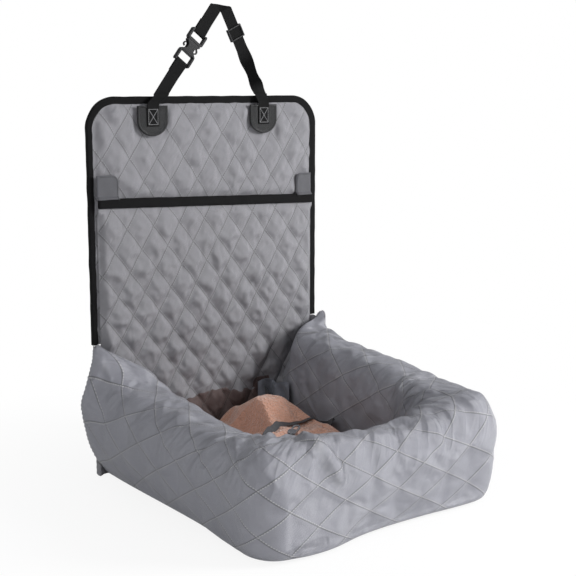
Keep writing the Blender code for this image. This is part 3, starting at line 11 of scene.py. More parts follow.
import bmesh
import bpy
from mathutils import Matrix, Vector, noise
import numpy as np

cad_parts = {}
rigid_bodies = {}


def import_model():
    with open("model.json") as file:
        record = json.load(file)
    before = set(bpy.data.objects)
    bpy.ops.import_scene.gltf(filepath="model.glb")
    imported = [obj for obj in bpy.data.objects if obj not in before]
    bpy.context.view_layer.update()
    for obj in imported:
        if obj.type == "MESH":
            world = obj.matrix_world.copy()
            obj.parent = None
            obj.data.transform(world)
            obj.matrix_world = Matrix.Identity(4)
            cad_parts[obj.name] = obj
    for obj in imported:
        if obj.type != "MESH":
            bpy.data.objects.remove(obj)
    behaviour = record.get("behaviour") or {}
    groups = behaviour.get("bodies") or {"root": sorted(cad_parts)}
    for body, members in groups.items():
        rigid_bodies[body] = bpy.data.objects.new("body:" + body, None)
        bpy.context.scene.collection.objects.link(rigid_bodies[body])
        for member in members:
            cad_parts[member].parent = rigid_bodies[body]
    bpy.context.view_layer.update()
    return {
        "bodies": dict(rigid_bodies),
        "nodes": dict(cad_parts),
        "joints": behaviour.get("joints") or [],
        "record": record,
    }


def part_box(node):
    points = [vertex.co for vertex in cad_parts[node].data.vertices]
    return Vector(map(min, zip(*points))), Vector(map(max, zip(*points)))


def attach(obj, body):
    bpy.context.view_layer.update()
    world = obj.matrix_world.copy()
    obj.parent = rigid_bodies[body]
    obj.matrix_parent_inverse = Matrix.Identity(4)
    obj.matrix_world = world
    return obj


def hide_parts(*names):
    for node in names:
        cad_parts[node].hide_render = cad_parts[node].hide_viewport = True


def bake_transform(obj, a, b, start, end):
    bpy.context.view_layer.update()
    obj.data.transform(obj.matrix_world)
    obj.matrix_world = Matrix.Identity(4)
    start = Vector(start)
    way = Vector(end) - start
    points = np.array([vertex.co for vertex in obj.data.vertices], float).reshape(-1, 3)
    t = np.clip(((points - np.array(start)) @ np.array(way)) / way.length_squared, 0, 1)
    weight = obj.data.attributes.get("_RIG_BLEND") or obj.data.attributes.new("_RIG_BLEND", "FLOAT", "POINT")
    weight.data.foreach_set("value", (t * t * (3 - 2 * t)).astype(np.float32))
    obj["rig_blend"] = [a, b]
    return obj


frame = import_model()

# %% [markdown]
# ## Camera
# The photograph was taken from the left of the bed's front with a long lens. The camera's place
# was fitted to the corners of the back and of the bed, so it is written here as plain numbers.

# %% Camera
view = bpy.data.cameras.new("seat_camera")
view.sensor_width = 36.0
view.lens = 72.54
view.clip_start = 0.05
camera = bpy.data.objects.new("seat_camera", view)
camera.location = (-1.1847, -1.5796, 0.7073)
camera.rotation_mode = "QUATERNION"
camera.rotation_quaternion = Vector((0.588, 0.790, -0.1727)).to_track_quat("-Z", "Y")
bpy.context.collection.objects.link(camera)
bpy.context.scene.camera = camera
bpy.context.scene.view_settings.view_transform = "Standard"
print("camera at", tuple(camera.location), "with a lens of", view.lens, "mm")

# %% [markdown]
# ## Studio
# A product photograph of cloth wants broad, soft light. One large lamp stands to the front right,
# where the bed's front wall is brightest, and a weaker one to the left. The world is white to the
# camera, but only a soft grey to the cloth, so that the folds keep their shadows.


# %% Lamps and world
def area_lamp(name, place, target, size, power):
    """A square lamp at a place, turned to its target."""
    lamp = bpy.data.lights.new(name, "AREA")
    lamp.shape = "SQUARE"
    lamp.size = size
    lamp.energy = power
    holder = bpy.data.objects.new(name, lamp)
    holder.location = place
    holder.rotation_mode = "QUATERNION"
    holder.rotation_quaternion = (Vector(target) - Vector(place)).to_track_quat("-Z", "Y")
    bpy.context.collection.objects.link(holder)


def add(tree, kind, sockets=(), **settings):
    """Add a node, set its options and fill its sockets with numbers or links."""
    made = tree.nodes.new("ShaderNode" + kind)
    for key, value in settings.items():
        setattr(made, key, value)
    for key, value in dict(sockets).items():
        if isinstance(value, bpy.types.NodeSocket):
            tree.links.new(value, made.inputs[key])
        else:
            made.inputs[key].default_value = value
    return made


area_lamp("key_lamp", (2.1, -1.9, 1.5), (0, 0, 0.25), 1.0, 114)
area_lamp("fill_lamp", (-2.4, -1.2, 1.5), (0, 0, 0.3), 1.8, 21)
area_lamp("top_lamp", (0.0, 0.3, 2.8), (0, 0, 0.3), 1.4, 5)

world = bpy.data.worlds.new("studio")
world.use_nodes = True
bpy.context.scene.world = world
sky = world.node_tree
sky.nodes.clear()
rays = add(sky, "LightPath").outputs
seen = add(sky, "Math", {0: rays["Is Camera Ray"], 1: rays["Is Transmission Ray"]},
           operation="MAXIMUM")
grey = add(sky, "Background", {"Color": (0.96, 0.98, 1, 1), "Strength": 0.34})
white = add(sky, "Background", {"Color": (1, 1, 1, 1), "Strength": 1.0})
choice = add(sky, "MixShader", {0: seen.outputs[0], 1: grey.outputs[0], 2: white.outputs[0]})
add(sky, "OutputWorld", {"Surface": choice.outputs[0]})
print("lamps", [lamp.name for lamp in bpy.data.lights])


# %% [markdown]
# ## Tools for finishes
# Every finish is a small tree of nodes, made from the same few parts: sums, noise, mixed colours,
# a varying gloss and a raised surface. A socket gets either a number or another node's output.


# %% Node helpers
class Finish:
    """A material, its shader, and the parts that its tree of nodes is made from."""

    def __init__(self, name, roughness, colour=None, metallic=0.0, sheen=0.0, specular=0.5,
                 coat=0.0):
        self.material = bpy.data.materials.new(name)
        self.material.use_nodes = True
        self.tree = self.material.node_tree
        self.shader = self.tree.nodes["Principled BSDF"]
        plain = {"Roughness": roughness, "Metallic": metallic, "Sheen Weight": sheen,
                 "Sheen Roughness": 0.4, "Specular IOR Level": specular, "Coat Weight": coat}
        if colour:
            plain["Base Color"] = (*colour, 1)
        for socket, value in plain.items():
            self.shader.inputs[socket].default_value = value

    def add(self, kind, sockets=(), **settings):
        """Add a node to this finish."""
        return add(self.tree, kind, sockets, **settings)

    def place(self):
        """Place in the object's own space, in metres."""
        return self.add("TexCoord").outputs["Object"]

    def pattern(self):
        """Place on the flat pattern."""
        return self.add("UVMap", uv_map="pattern").outputs["UV"]

    def reckon(self, operation, *values, clamp=False):
        """One Math node, returned as its output."""
        return self.add("Math", dict(enumerate(values)), operation=operation,
                        use_clamp=clamp).outputs[0]

    def times(self, first, second):
        """Product of two values."""
        return self.reckon("MULTIPLY", first, second)

    def plus(self, first, second):
        """Sum of two values."""
        return self.reckon("ADD", first, second)

    def minus(self, first, second, clamp=False):
        """Difference of two values."""
        return self.reckon("SUBTRACT", first, second, clamp=clamp)

    def vector(self, operation, first, second, result="Vector"):
        """One vector sum."""
        sockets = {0: first, "Scale" if operation == "SCALE" else 1: second}
        return self.add("VectorMath", sockets, operation=operation).outputs[result]

    def noise(self, vector, scale, detail, distortion=0.0, result="Fac"):
        """Cloudy noise, about 0.5."""
        return self.add("TexNoise", {"Vector": vector, "Scale": scale, "Detail": detail,
                                     "Distortion": distortion}).outputs[result]

    def ridges(self, vector, scale, seed):
        """Noise with sharp crests, 0 to 1; the scale may differ along each direction."""
        moved = self.add("Mapping", {"Vector": vector, "Scale": scale,
                                     "Location": (seed, seed, 0)}).outputs[0]
        swing = self.reckon("MULTIPLY_ADD", self.noise(moved, 1.0, 1.0, 0.3), 5.0, -2.5)
        return self.minus(1.0, self.reckon("ABSOLUTE", swing), clamp=True)

    def turned(self, vector, rotation):
        """The same places, turned."""
        return self.add("Mapping", {"Vector": vector, "Rotation": rotation}).outputs[0]

    def smooth_range(self, value, start, end, low=0.0, high=1.0):
        """Go smoothly from low at the start to high at the end."""
        return self.add("MapRange", {"Value": value, "From Min": start, "From Max": end,
                                     "To Min": low, "To Max": high},
                        interpolation_type="SMOOTHSTEP").outputs[0]

    def mix(self, share, first, second):
        """Mix two colours, given as triples or as outputs."""
        sockets = {0: share, 6: first, 7: second}
        for key in (6, 7):
            if isinstance(sockets[key], tuple):
                sockets[key] = (*sockets[key], 1.0)
        return self.add("Mix", sockets, data_type="RGBA").outputs[2]

    def paint(self, colour, share, low, high, *layers):
        """Mix two shades of a colour and lay more over them: a mask, its strength and a shade."""
        def tint(shade):
            if isinstance(shade, tuple):
                return shade
            return tuple(min(1, channel * shade) for channel in colour)

        mixed = self.mix(share, tint(low), tint(high))
        for mask, strength, shade in layers:
            mixed = self.mix(self.times(mask, strength), mixed, tint(shade))
        self.tree.links.new(mixed, self.shader.inputs["Base Color"])

    def gloss(self, value, low, high):
        """Let the roughness go from low to high with a value."""
        spread = self.add("MapRange", {"Value": value, "To Min": low, "To Max": high})
        self.tree.links.new(spread.outputs[0], self.shader.inputs["Roughness"])

    def raise_surface(self, height, distance, folds=None):
        """Bumps of the given depth in metres, on top of folds given in metres."""
        bump = self.add("Bump", {"Height": height, "Distance": distance})
        if folds is not None:
            below = self.add("Bump", {"Height": folds, "Distance": 1.0})
            self.tree.links.new(below.outputs["Normal"], bump.inputs["Normal"])
        self.tree.links.new(bump.outputs["Normal"], self.shader.inputs["Normal"])


# %% [markdown]
# ## Quilted cloth
# The cover is a satin-faced woven cloth, sewn to wadding in diamonds. Each piece of quilting
# carries its flat pattern, in metres, as a UV map, so the sewing thread and the weave follow the
# cloth round every curve. Each stitch line is darkened as painted shade in its valley, with a softer
# band of painted shade round it, and the thread shows as short pale stitches to one side of the
# line: the thread's own colour lifted as a painted highlight on its lit side.


# %% Quilted cloth finish
STITCH = 0.0045  # length of a stitch with its gap
THREAD_OFF = 0.0013  # how far the pale thread, painted as a highlight on its lit side, lies beside the sunk line


def stitched_lines(finish, wide, tall):
    """Masks of the stitch lines: the sunk line's painted shade, the thread with a painted highlight on its
    lit side, and a band of painted shade.
    """
    split = finish.add("SeparateXYZ", {"Vector": finish.pattern()}).outputs
    across = finish.reckon("DIVIDE", split["X"], wide)
    along = finish.reckon("DIVIDE", split["Y"], tall)
    rising, falling = finish.plus(across, along), finish.minus(across, along)
    spread = math.sqrt(1 / wide ** 2 + 1 / tall ** 2)
    dashes = math.sqrt(wide ** 2 + tall ** 2) / 2 / STITCH
    masks = []
    for course, other in ((rising, falling), (falling, rising)):
        signed = finish.minus(finish.reckon("FRACT", finish.plus(course, 64.5)), 0.5)
        off = finish.reckon("DIVIDE", signed, spread)
        place = finish.reckon("FRACT", finish.times(finish.plus(other, 64.0), dashes))
        row = []
        # The sunk line, darkened as painted shade; the thread, moved to its lit side as a painted highlight;
        # and a soft band of painted shade round the valley.
        for shift, width in ((0.0, 0.0017), (-THREAD_OFF, 0.0011), (0.0, 0.006)):
            away = finish.reckon("ABSOLUTE", finish.plus(off, shift))
            row.append(finish.minus(1.0, finish.reckon("DIVIDE", away, width), clamp=True))
        row[1] = finish.times(row[1], finish.reckon("LESS_THAN", place, 0.6))
        masks.append(row)
    return [finish.reckon("MAXIMUM", first, second) for first, second in zip(*masks)]


def weave_height(finish, vector, pitch):
    """Height of a plain weave whose threads have the given pitch."""
    split = finish.add("SeparateXYZ", {"Vector": vector}).outputs
    return finish.times(*(finish.reckon("SINE", finish.times(split[axis], math.pi / pitch))
                          for axis in "XY"))


def crease_field(finish, pattern, creases):
    """Depth of creases, each a start, an end, a width and a depth on the flat pattern."""
    drift = finish.vector("SUBTRACT", finish.noise(pattern, 26.0, 2.0, result="Color"),
                          (0.5, 0.5, 0.5))
    wavy = finish.vector("ADD", pattern, finish.vector("SCALE", drift, 0.018))
    wavy = finish.vector("MULTIPLY", wavy, (1, 1, 0))
    total = 0.0
    for start_x, start_y, end_x, end_y, width, deep in creases:
        along = Vector((end_x - start_x, end_y - start_y, 0))
        unit = tuple(along.normalized())
        off = finish.vector("SUBTRACT", wavy, (start_x, start_y, 0))
        walk = finish.vector("DOT_PRODUCT", off, unit, "Value")
        walk = finish.add("Clamp", {"Value": walk, "Min": 0.0, "Max": along.length}).outputs[0]
        away = finish.vector("DISTANCE", off, finish.vector("SCALE", unit, walk), "Value")
        total = finish.plus(total, finish.smooth_range(away, 0.0, width * 2.6, deep * 0.8, 0.0))
    return total


# Creases of the walls' cover on its flat pattern: start, end, width and depth
WALL_CREASES = (
    (0.403, 0.228, 0.468, 0.164, 0.0060, 0.0060), (0.473, 0.216, 0.502, 0.163, 0.0055, 0.0050),
    (0.405, 0.202, 0.434, 0.172, 0.0050, 0.0030), (0.306, 0.224, 0.264, 0.168, 0.0060, 0.0045),
    (0.338, 0.228, 0.301, 0.160, 0.0060, 0.0050), (0.390, 0.229, 0.341, 0.176, 0.0060, 0.0050),
    (0.278, 0.217, 0.238, 0.171, 0.0060, 0.0040), (0.498, 0.056, 0.602, 0.068, 0.0045, 0.0045),
    (0.583, 0.240, 0.635, 0.163, 0.0085, 0.0140), (0.603, 0.216, 0.636, 0.175, 0.0040, 0.0035),
    (0.554, 0.224, 0.580, 0.196, 0.0050, 0.0045), (0.580, 0.196, 0.569, 0.176, 0.0050, 0.0035),
    (0.752, 0.258, 0.760, 0.165, 0.0060, 0.0035), (0.864, 0.258, 0.846, 0.185, 0.0060, 0.0045),
    (0.846, 0.185, 0.884, 0.153, 0.0050, 0.0030), (0.787, 0.197, 0.856, 0.170, 0.0050, 0.0030),
    (0.986, 0.248, 0.998, 0.214, 0.0055, 0.0050), (0.962, 0.262, 0.968, 0.226, 0.0050, 0.0040),
    (0.893, 0.290, 0.915, 0.255, 0.0060, 0.0045), (0.915, 0.255, 0.893, 0.223, 0.0060, 0.0040),
    (1.194, 0.324, 1.110, 0.275, 0.0065, 0.0050), (1.160, 0.330, 1.085, 0.290, 0.0050, 0.0035),
    (-0.008, 0.245, 0.044, 0.205, 0.0060, 0.0055), (-0.008, 0.235, 0.010, 0.160, 0.0060, 0.0050),
    (-0.008, 0.250, 0.060, 0.236, 0.0050, 0.0040), (1.492, 0.240, 1.418, 0.233, 0.0055, 0.0050),
    (1.418, 0.233, 1.345, 0.284, 0.0060, 0.0040), (1.492, 0.255, 1.290, 0.264, 0.0055, 0.0040),
    (0.140, 0.262, 0.205, 0.205, 0.0060, 0.0035), (0.182, 0.266, 0.246, 0.210, 0.0060, 0.0035),
)


def wall_fold_height(finish, pattern):
    """Gathers along the crown of the walls, broad slack dents and single creases."""
    girth = finish.add("SeparateXYZ", {"Vector": pattern}).outputs["Y"]
    crown = finish.times(finish.smooth_range(girth, 0.10, 0.22),
                         finish.smooth_range(girth, 0.36, 0.29))
    slanted = finish.turned(pattern, (0, 0, 0.5))
    height = finish.times(finish.noise(pattern, 10.0, 1.0), 0.022)
    for value, depth in ((finish.times(finish.ridges(slanted, (24, 6, 1), 3.0), crown), 0.0048),
                         (finish.times(finish.ridges(slanted, (64, 11, 1), 6.0), crown), 0.0010),
                         (finish.noise(slanted, 34.0, 1.0), 0.0032)):
        height = finish.reckon("MULTIPLY_ADD", value, depth, height)
    return finish.minus(height, crease_field(finish, pattern, WALL_CREASES))


def panel_fold_height(finish, pattern):
    """Puckers and shallow dents of the flat quilting."""
    slanted = finish.turned(pattern, (0, 0, 0.6))
    dents = finish.times(finish.ridges(slanted, (30, 13, 1), 4.0), 0.0013)
    return finish.reckon("MULTIPLY_ADD", finish.ridges(slanted, (70, 36, 1), 1.0), 0.0005, dents)


def quilted_cloth(name, colour, diamond, thread, thread_share, roughness,
                  folds=panel_fold_height):
    """Satin-faced cloth with diamond stitching."""
    finish = Finish(name, roughness, sheen=0.1, specular=0.75)
    line, stitches, band = stitched_lines(finish, *diamond)
    pattern, place = finish.pattern(), finish.place()
    cloudy, grain = finish.noise(place, 9.0, 3.0), finish.noise(place, 900.0, 2.0)
    drawn = finish.add("Mapping", {"Vector": pattern, "Scale": (180, 900, 1)}).outputs[0]
    # The line and the band darken the stitch valleys as painted shade; the pale thread beside each line is
    # the thread's colour with a painted highlight.
    finish.paint(colour, cloudy, 0.86, 1.14, (finish.noise(drawn, 1.0, 2.0), 0.35, 0.72),
                 (grain, 0.25, 1.14), (band, 0.10, 0.86), (line, 0.85, 0.3),
                 (stitches, thread_share, thread))
    finish.gloss(cloudy, roughness - 0.06, roughness + 0.08)
    height = 0.0
    for value, share in ((weave_height(finish, pattern, 0.0006), 0.16), (band, -0.55),
                         (stitches, 0.5), (grain, 0.18)):
        height = finish.reckon("MULTIPLY_ADD", value, share, height)
    finish.raise_surface(height, 0.0009, folds(finish, pattern))
    return finish.material


def plain_cloth(name, colour, roughness):
    """Unquilted woven cloth, its threads laid in the object's own space."""
    finish = Finish(name, roughness, sheen=0.2, specular=0.35)
    place = finish.place()
    grain = finish.noise(place, 1100.0, 2.0)
    finish.paint(colour, finish.noise(place, 14.0, 3.0), 0.84, 1.16, (grain, 0.35, 0.7))
    threads = weave_height(finish, finish.turned(place, (math.pi / 2, 0, 0)), 0.0007)
    finish.raise_surface(finish.plus(finish.times(threads, 0.4), finish.times(grain, 0.5)), 0.0003)
    return finish.material


# Width and height of the diamonds on each piece's flat pattern
PANEL_DIAMOND = (0.0565, 0.0830)
POCKET_DIAMOND = (0.0548, 0.0792)
WALL_DIAMOND = (0.1075, 0.0625)
# The thread colours are the thread's own colour lifted as a painted highlight on its lit side.
grey_quilting = quilted_cloth("grey_quilting", (0.196, 0.193, 0.211), PANEL_DIAMOND,
                              (0.36, 0.36, 0.38), 0.5, 0.42)
pocket_quilting = quilted_cloth("pocket_quilting", (0.198, 0.195, 0.212), POCKET_DIAMOND,
                                (0.36, 0.36, 0.38), 0.5, 0.40)
grey_wall_quilting = quilted_cloth("grey_wall_quilting", (0.262, 0.263, 0.298), WALL_DIAMOND,
                                   (0.60, 0.59, 0.59), 0.8, 0.34, wall_fold_height)
# The brown is painted shade at the foot of the back with a painted warm reflection of the plush.
painted_shade_quilting = quilted_cloth("painted_shade_quilting", (0.070, 0.040, 0.037), POCKET_DIAMOND,
                               (0.16, 0.11, 0.10), 0.5, 0.62)
grey_cloth = plain_cloth("grey_cloth", (0.075, 0.075, 0.085), 0.5)
brown_cloth = plain_cloth("brown_cloth", (0.040, 0.024, 0.023), 0.6)
black_cloth = plain_cloth("black_cloth", (0.008, 0.008, 0.009), 0.75)
slate_cloth = plain_cloth("slate_cloth", (0.16, 0.17, 0.20), 0.45)
print("cloth finishes", [cloth.name for cloth in bpy.data.materials])

# %% [markdown]
# ## Tape, webbing and faux leather
# The bound edges are a ribbed tape, and the straps a coarser webbing with two raised edges. Both
# are fine repeating ribs, so a wave along the strip gives them. The tabs are an embossed faux
# leather: small cells with soft valleys between them, the valleys darkened as painted shade.


# %% Tape, webbing and faux leather finishes
def ribbed_strip(name, colour, rib, depth, roughness, edge_share=0.0):
    """Ribs across a strip whose UV map runs from 0 to 1 across it and in metres along it."""
    finish = Finish(name, roughness, specular=0.12)
    split = finish.add("SeparateXYZ", {"Vector": finish.pattern()}).outputs
    ribs, columns = (finish.reckon("SINE", finish.times(split[axis], 2 * math.pi * number))
                     for axis, number in (("Y", 1 / rib), ("X", 11)))
    place = finish.place()
    fuzz, wear_and_highlight = finish.noise(place, 1400.0, 2.0), finish.noise(place, 30.0, 3.0)
    edge = finish.reckon("ABSOLUTE", finish.minus(split["X"], 0.5))
    border = finish.reckon("GREATER_THAN", edge, 0.41)
    # Lighter cloudy patches: partly wear, partly a painted highlight of the strip's folds.
    finish.paint(colour, finish.times(wear_and_highlight, 0.6), 1.0, 2.4, (fuzz, 0.5, 2.4),
                 (border, edge_share, 2.4))
    height = finish.plus(finish.times(finish.times(ribs, columns), 0.4), finish.times(fuzz, 0.5))
    finish.raise_surface(finish.plus(height, finish.times(border, 0.5)), depth)
    return finish.material


def embossed_leather(name, colour):
    """Faux leather: a cell grain with its valleys darkened as painted shade, lighter cloudy patches and a
    little coat.
    """
    finish = Finish(name, 0.42, specular=0.3, coat=0.06)
    place = finish.place()
    cells = finish.add("TexVoronoi", {"Vector": place, "Scale": 760.0},
                       feature="DISTANCE_TO_EDGE").outputs["Distance"]
    cloudy = finish.noise(place, 60.0, 4.0)
    grain = finish.reckon("MULTIPLY", cells, 3.0, clamp=True)
    # The grain's valleys are darkened as painted shade.
    finish.paint(colour, grain, 0.55, 1.0, (cloudy, 0.4, 1.6))
    finish.gloss(cloudy, 0.3, 0.48)
    finish.raise_surface(grain, 0.0003)
    return finish.material


black_tape = ribbed_strip("black_tape", (0.0026, 0.0025, 0.0028), 0.0012, 0.0004, 0.7)
black_webbing = ribbed_strip("black_webbing", (0.0030, 0.0030, 0.0032), 0.0020, 0.0005, 0.75, 0.35)
# The tether's lighter grey is partly its own dark colour and partly a painted sheen of its face.
tether_webbing = ribbed_strip("tether_webbing", (0.045, 0.045, 0.048), 0.0018, 0.0003, 0.5, 0.2)
dark_leather = embossed_leather("dark_leather", (0.0085, 0.0088, 0.0098))
print("tape, webbing and leather made,", len(bpy.data.materials), "finishes so far")

# %% [markdown]
# ## Plush, plastic and plated steel
# The cushion is a short plush: broad soft shading from the way the pile lies, with fine tufts. The
# buckle is moulded plastic with a faint pebble and paler sharp edges, a painted highlight, and the
# hook is nickel plate.


# %% Plush, plastic and steel finishes
def short_plush(name, colour):
    """Pile: tufts in the bump, and patches that lie another way in the colour."""
    finish = Finish(name, 0.95, sheen=0.6, specular=0.15)
    place = finish.place()
    laid, tufts = finish.noise(place, 38.0, 4.0, 0.8), finish.noise(place, 420.0, 3.0)
    curls = finish.add("TexVoronoi", {"Vector": place, "Scale": 230.0}).outputs["Distance"]
    finish.paint(colour, laid, 0.72, 1.22, (tufts, 0.5, 0.8), (curls, 0.45, 1.35))
    height = finish.plus(tufts, finish.times(laid, 1.5))
    finish.raise_surface(finish.minus(height, curls), 0.0022)
    return finish.material


def moulded_plastic(name, colour):
    """Moulded plastic with a faint pebble and paler sharp edges, a painted highlight."""
    finish = Finish(name, 0.36, specular=0.16)
    place = finish.place()
    handled = finish.noise(place, 120.0, 3.0)
    rim = finish.add("MapRange", {"Value": finish.add("NewGeometry").outputs["Pointiness"],
                                  "From Min": 0.5, "From Max": 0.6}).outputs[0]
    # Sharp edges are made paler: a painted highlight.
    finish.paint(colour, finish.times(handled, 0.4), 1.0, 1.8, (rim, 0.5, 3.0))
    finish.gloss(handled, 0.28, 0.46)
    finish.raise_surface(finish.noise(place, 1800.0, 2.0), 0.00008)
    return finish.material


def nickel_plate(name, colour):
    """Plated steel with fine polishing marks."""
    finish = Finish(name, 0.2, metallic=1.0)
    marks = finish.noise(finish.place(), 350.0, 4.0)
    finish.paint(colour, marks, 0.82, 1.0)
    finish.gloss(marks, 0.14, 0.32)
    finish.raise_surface(marks, 0.00004)
    return finish.material


peach_plush = short_plush("peach_plush", (0.57, 0.31, 0.225))
buckle_plastic = moulded_plastic("buckle_plastic", (0.0045, 0.0045, 0.0052))
plated_steel = nickel_plate("plated_steel", (0.42, 0.43, 0.45))
print("plush, plastic and steel made,", len(bpy.data.materials), "finishes so far")

# %% Finishes of the frame's own rigid pieces
FRAME_FINISHES = {
    buckle_plastic: ("buckle_socket", "buckle_plug", "prong_left", "prong_right", "strap_adjuster"),
    plated_steel: ("snap_eye", "snap_hook", "snap_bolt"),
}
for finish, nodes in FRAME_FINISHES.items():
    for node in nodes:
        bpy.data.objects[node].data.materials.clear()
        bpy.data.objects[node].data.materials.append(finish)
        print("finished", node)

# %% [markdown]
# ## Cutting quilted cloth
# Quilting folds along its stitches, so the mesh should have edges there. A square grid, sheared
# into diamonds, has them: every few rows of edges is a stitch line. The grid is then cut to the
# pattern's outline by planes, and every point remembers its flat place as the UV map "pattern".


# %% Cloth tools
def ease(value):
    """Rise smoothly from 0 to 1."""
    value = min(1.0, max(0.0, value))
    return value * value * (3 - 2 * value)


def ramp(value, start, end):
    """Rise smoothly from 0 at the start to 1 at the end."""
    return ease((value - start) / (end - start))


def diamond_cloth(wide, tall, fine, cuts, low, high):
    """Flat cloth in X and Y with edges on its stitches, over low to high before its cuts."""
    cells = math.ceil(((high[0] - low[0]) / wide + (high[1] - low[1]) / tall) * fine) + 2
    cloth = bmesh.new()
    bmesh.ops.create_grid(cloth, x_segments=cells, y_segments=cells, size=0.5)
    first = math.floor((low[0] / wide + low[1] / tall) * fine) - 1
    second = math.floor((low[0] / wide - high[1] / tall) * fine) - 1
    for point in cloth.verts:
        rising = first + round((point.co.x + 0.5) * cells)
        falling = second + round((point.co.y + 0.5) * cells)
        point.co = ((rising + falling) * wide / 2 / fine, (rising - falling) * tall / 2 / fine, 0)
    for spot, outward in cuts:
        everything = cloth.verts[:] + cloth.edges[:] + cloth.faces[:]
        bmesh.ops.bisect_plane(cloth, geom=everything, dist=0.00001, plane_co=(*spot, 0),
                               plane_no=(*outward, 0), clear_outer=True)
    bmesh.ops.recalc_face_normals(cloth, faces=cloth.faces[:])
    cloth.verts.layers.float.new("held")
    layer = cloth.loops.layers.uv.new("pattern")
    for face in cloth.faces:
        for corner in face.loops:
            corner[layer].uv = corner.vert.co.xy
    return cloth


def box_cuts(low, high):
    """The four straight cuts of a rectangle: a point on each and its outward direction."""
    return [(low, (-1, 0)), (low, (0, -1)), (high, (1, 0)), (high, (0, 1))]


def round_cuts(middle, radii, start, end, steps=8):
    """Cuts that round a corner off, from a start to an end angle in degrees."""
    cuts = []
    for step in range(steps + 1):
        angle = math.radians(start + (end - start) * step / steps)
        out = Vector((math.cos(angle) / radii[0], math.sin(angle) / radii[1])).normalized()
        spot = (middle[0] + radii[0] * math.cos(angle), middle[1] + radii[1] * math.sin(angle))
        cuts.append((spot, tuple(out)))
    return cuts


def inside_of(x, y, cuts):
    """Distance from a place of the pattern in from its nearest cut edge."""
    return min((spot[0] - x) * out[0] + (spot[1] - y) * out[1] for spot, out in cuts)


def off_stitch(x, y, wide, tall):
    """Distances from the two stitch lines that cross nearest: 0 on a line and 1 amid a diamond."""
    rising = abs((x / wide + y / tall + 0.5) % 1 - 0.5)
    falling = abs((x / wide - y / tall + 0.5) % 1 - 0.5)
    return 2 * rising, 2 * falling


def as_piece(name, shape, finish, slot, body, *nodes):
    """Make a bmesh a finished piece that rides on a body and stands for the frame's nodes."""
    mesh = bpy.data.meshes.new(name)
    shape.to_mesh(mesh)
    shape.free()
    mesh.shade_smooth()
    return as_finished(bpy.data.objects.new(name, mesh), finish, slot, body, *nodes)


def as_finished(piece, finish, slot, body, *nodes):
    """Give an object its finish and body; the slot is not used."""
    piece.data.materials.append(finish)
    bpy.context.collection.objects.link(piece)
    if body:
        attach(piece, body)
    if nodes:
        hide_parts(*nodes)
    print(piece.name, piece.type)
    return piece


CLOTH_SETTINGS = {
    "quality": 5, "mass": 0.25, "tension_stiffness": 20, "compression_stiffness": 20,
    "shear_stiffness": 8, "air_damping": 3, "use_pressure": True, "uniform_pressure_force": 2.0,
    "vertex_group_mass": "held",
}


def inflate(piece, slack, reach, frames, bend):
    """Blow cloth up between its held points; no point goes further than its reach in metres."""
    group = piece.vertex_groups.new(name="held")
    for index, weight in enumerate(piece.data.attributes["held"].data):
        if weight.value > 0:
            group.add([index], weight.value, "REPLACE")
    modifier = piece.modifiers.new("cloth", "CLOTH")
    for key, value in CLOTH_SETTINGS.items():
        setattr(modifier.settings, key, value)
    modifier.settings.bending_stiffness = bend
    modifier.settings.shrink_min = -slack
    modifier.settings.effector_weights.gravity = 0
    modifier.collision_settings.use_collision = False
    scene = bpy.context.scene
    for step in range(1, frames + 1):
        scene.frame_set(step)
    graph = bpy.context.evaluated_depsgraph_get()
    blown = [point.co.copy() for point in piece.evaluated_get(graph).data.vertices]
    piece.modifiers.remove(modifier)
    piece.vertex_groups.remove(group)
    scene.frame_set(1)
    for point, new in zip(piece.data.vertices, blown):
        shift = new - point.co
        if shift.length > reach:
            shift *= reach / shift.length
        point.co += shift
    piece.data.update()
    print(piece.name, "simulated")


def round_off(piece):
    """Smooth the piece's facets with one level of subdivision."""
    modifier = piece.modifiers.new("rounding", "SUBSURF")
    modifier.levels = 1
    modifier.render_levels = 1


def soft_slab(name, low, high, sides, finish, slot, body, nodes, cuts, diamond, fine,
              origin=(0, 0), turn=0.0, pinned=False):
    """Padded panel from one cut of cloth: sides are its front and rear, as functions of a place."""
    shift = Vector(origin)
    square = Matrix.Rotation(math.radians(turn), 2)
    every_cut = [(Vector(spot), Vector(out)) for spot, out in box_cuts(low, high) + list(cuts)]
    own_cuts = [(tuple((spot - shift) @ square), tuple(out @ square)) for spot, out in every_cut]
    corners = [(Vector((x, y)) - shift) @ square
               for x in (low[0], high[0]) for y in (low[1], high[1])]
    cloth = diamond_cloth(*diamond, fine, own_cuts,
                          *([pick(c[i] for c in corners) for i in (0, 1)] for pick in (min, max)))
    bmesh.ops.solidify(cloth, geom=cloth.faces[:], thickness=0.001)
    held = cloth.verts.layers.float["held"]
    for point in cloth.verts:
        off = off_stitch(*point.co.xy, *diamond)
        x, y = square @ point.co.xy + shift
        inside = inside_of(x, y, every_cut)
        behind = abs(point.co.z) > 0.0005
        point.co = sides[behind](x, y, inside, off)
        sewn = behind or inside < 0.002 or (pinned and min(off) < 0.01)
        point[held] = 1.0 if sewn else 0.0
    bmesh.ops.recalc_face_normals(cloth, faces=cloth.faces[:])
    return as_piece(name, cloth, finish, slot, body, *nodes)


# %% [markdown]
# ## The stuffed walls
# The three walls are one long bolster that runs round the open front of the bed. Its cloth is
# sewn flat and closed into a tube, so the outside of each corner is smooth while the spare cloth
# gathers inside the corner. The flat pattern is laid round a path, section by section, and then
# blown up between its stitches.

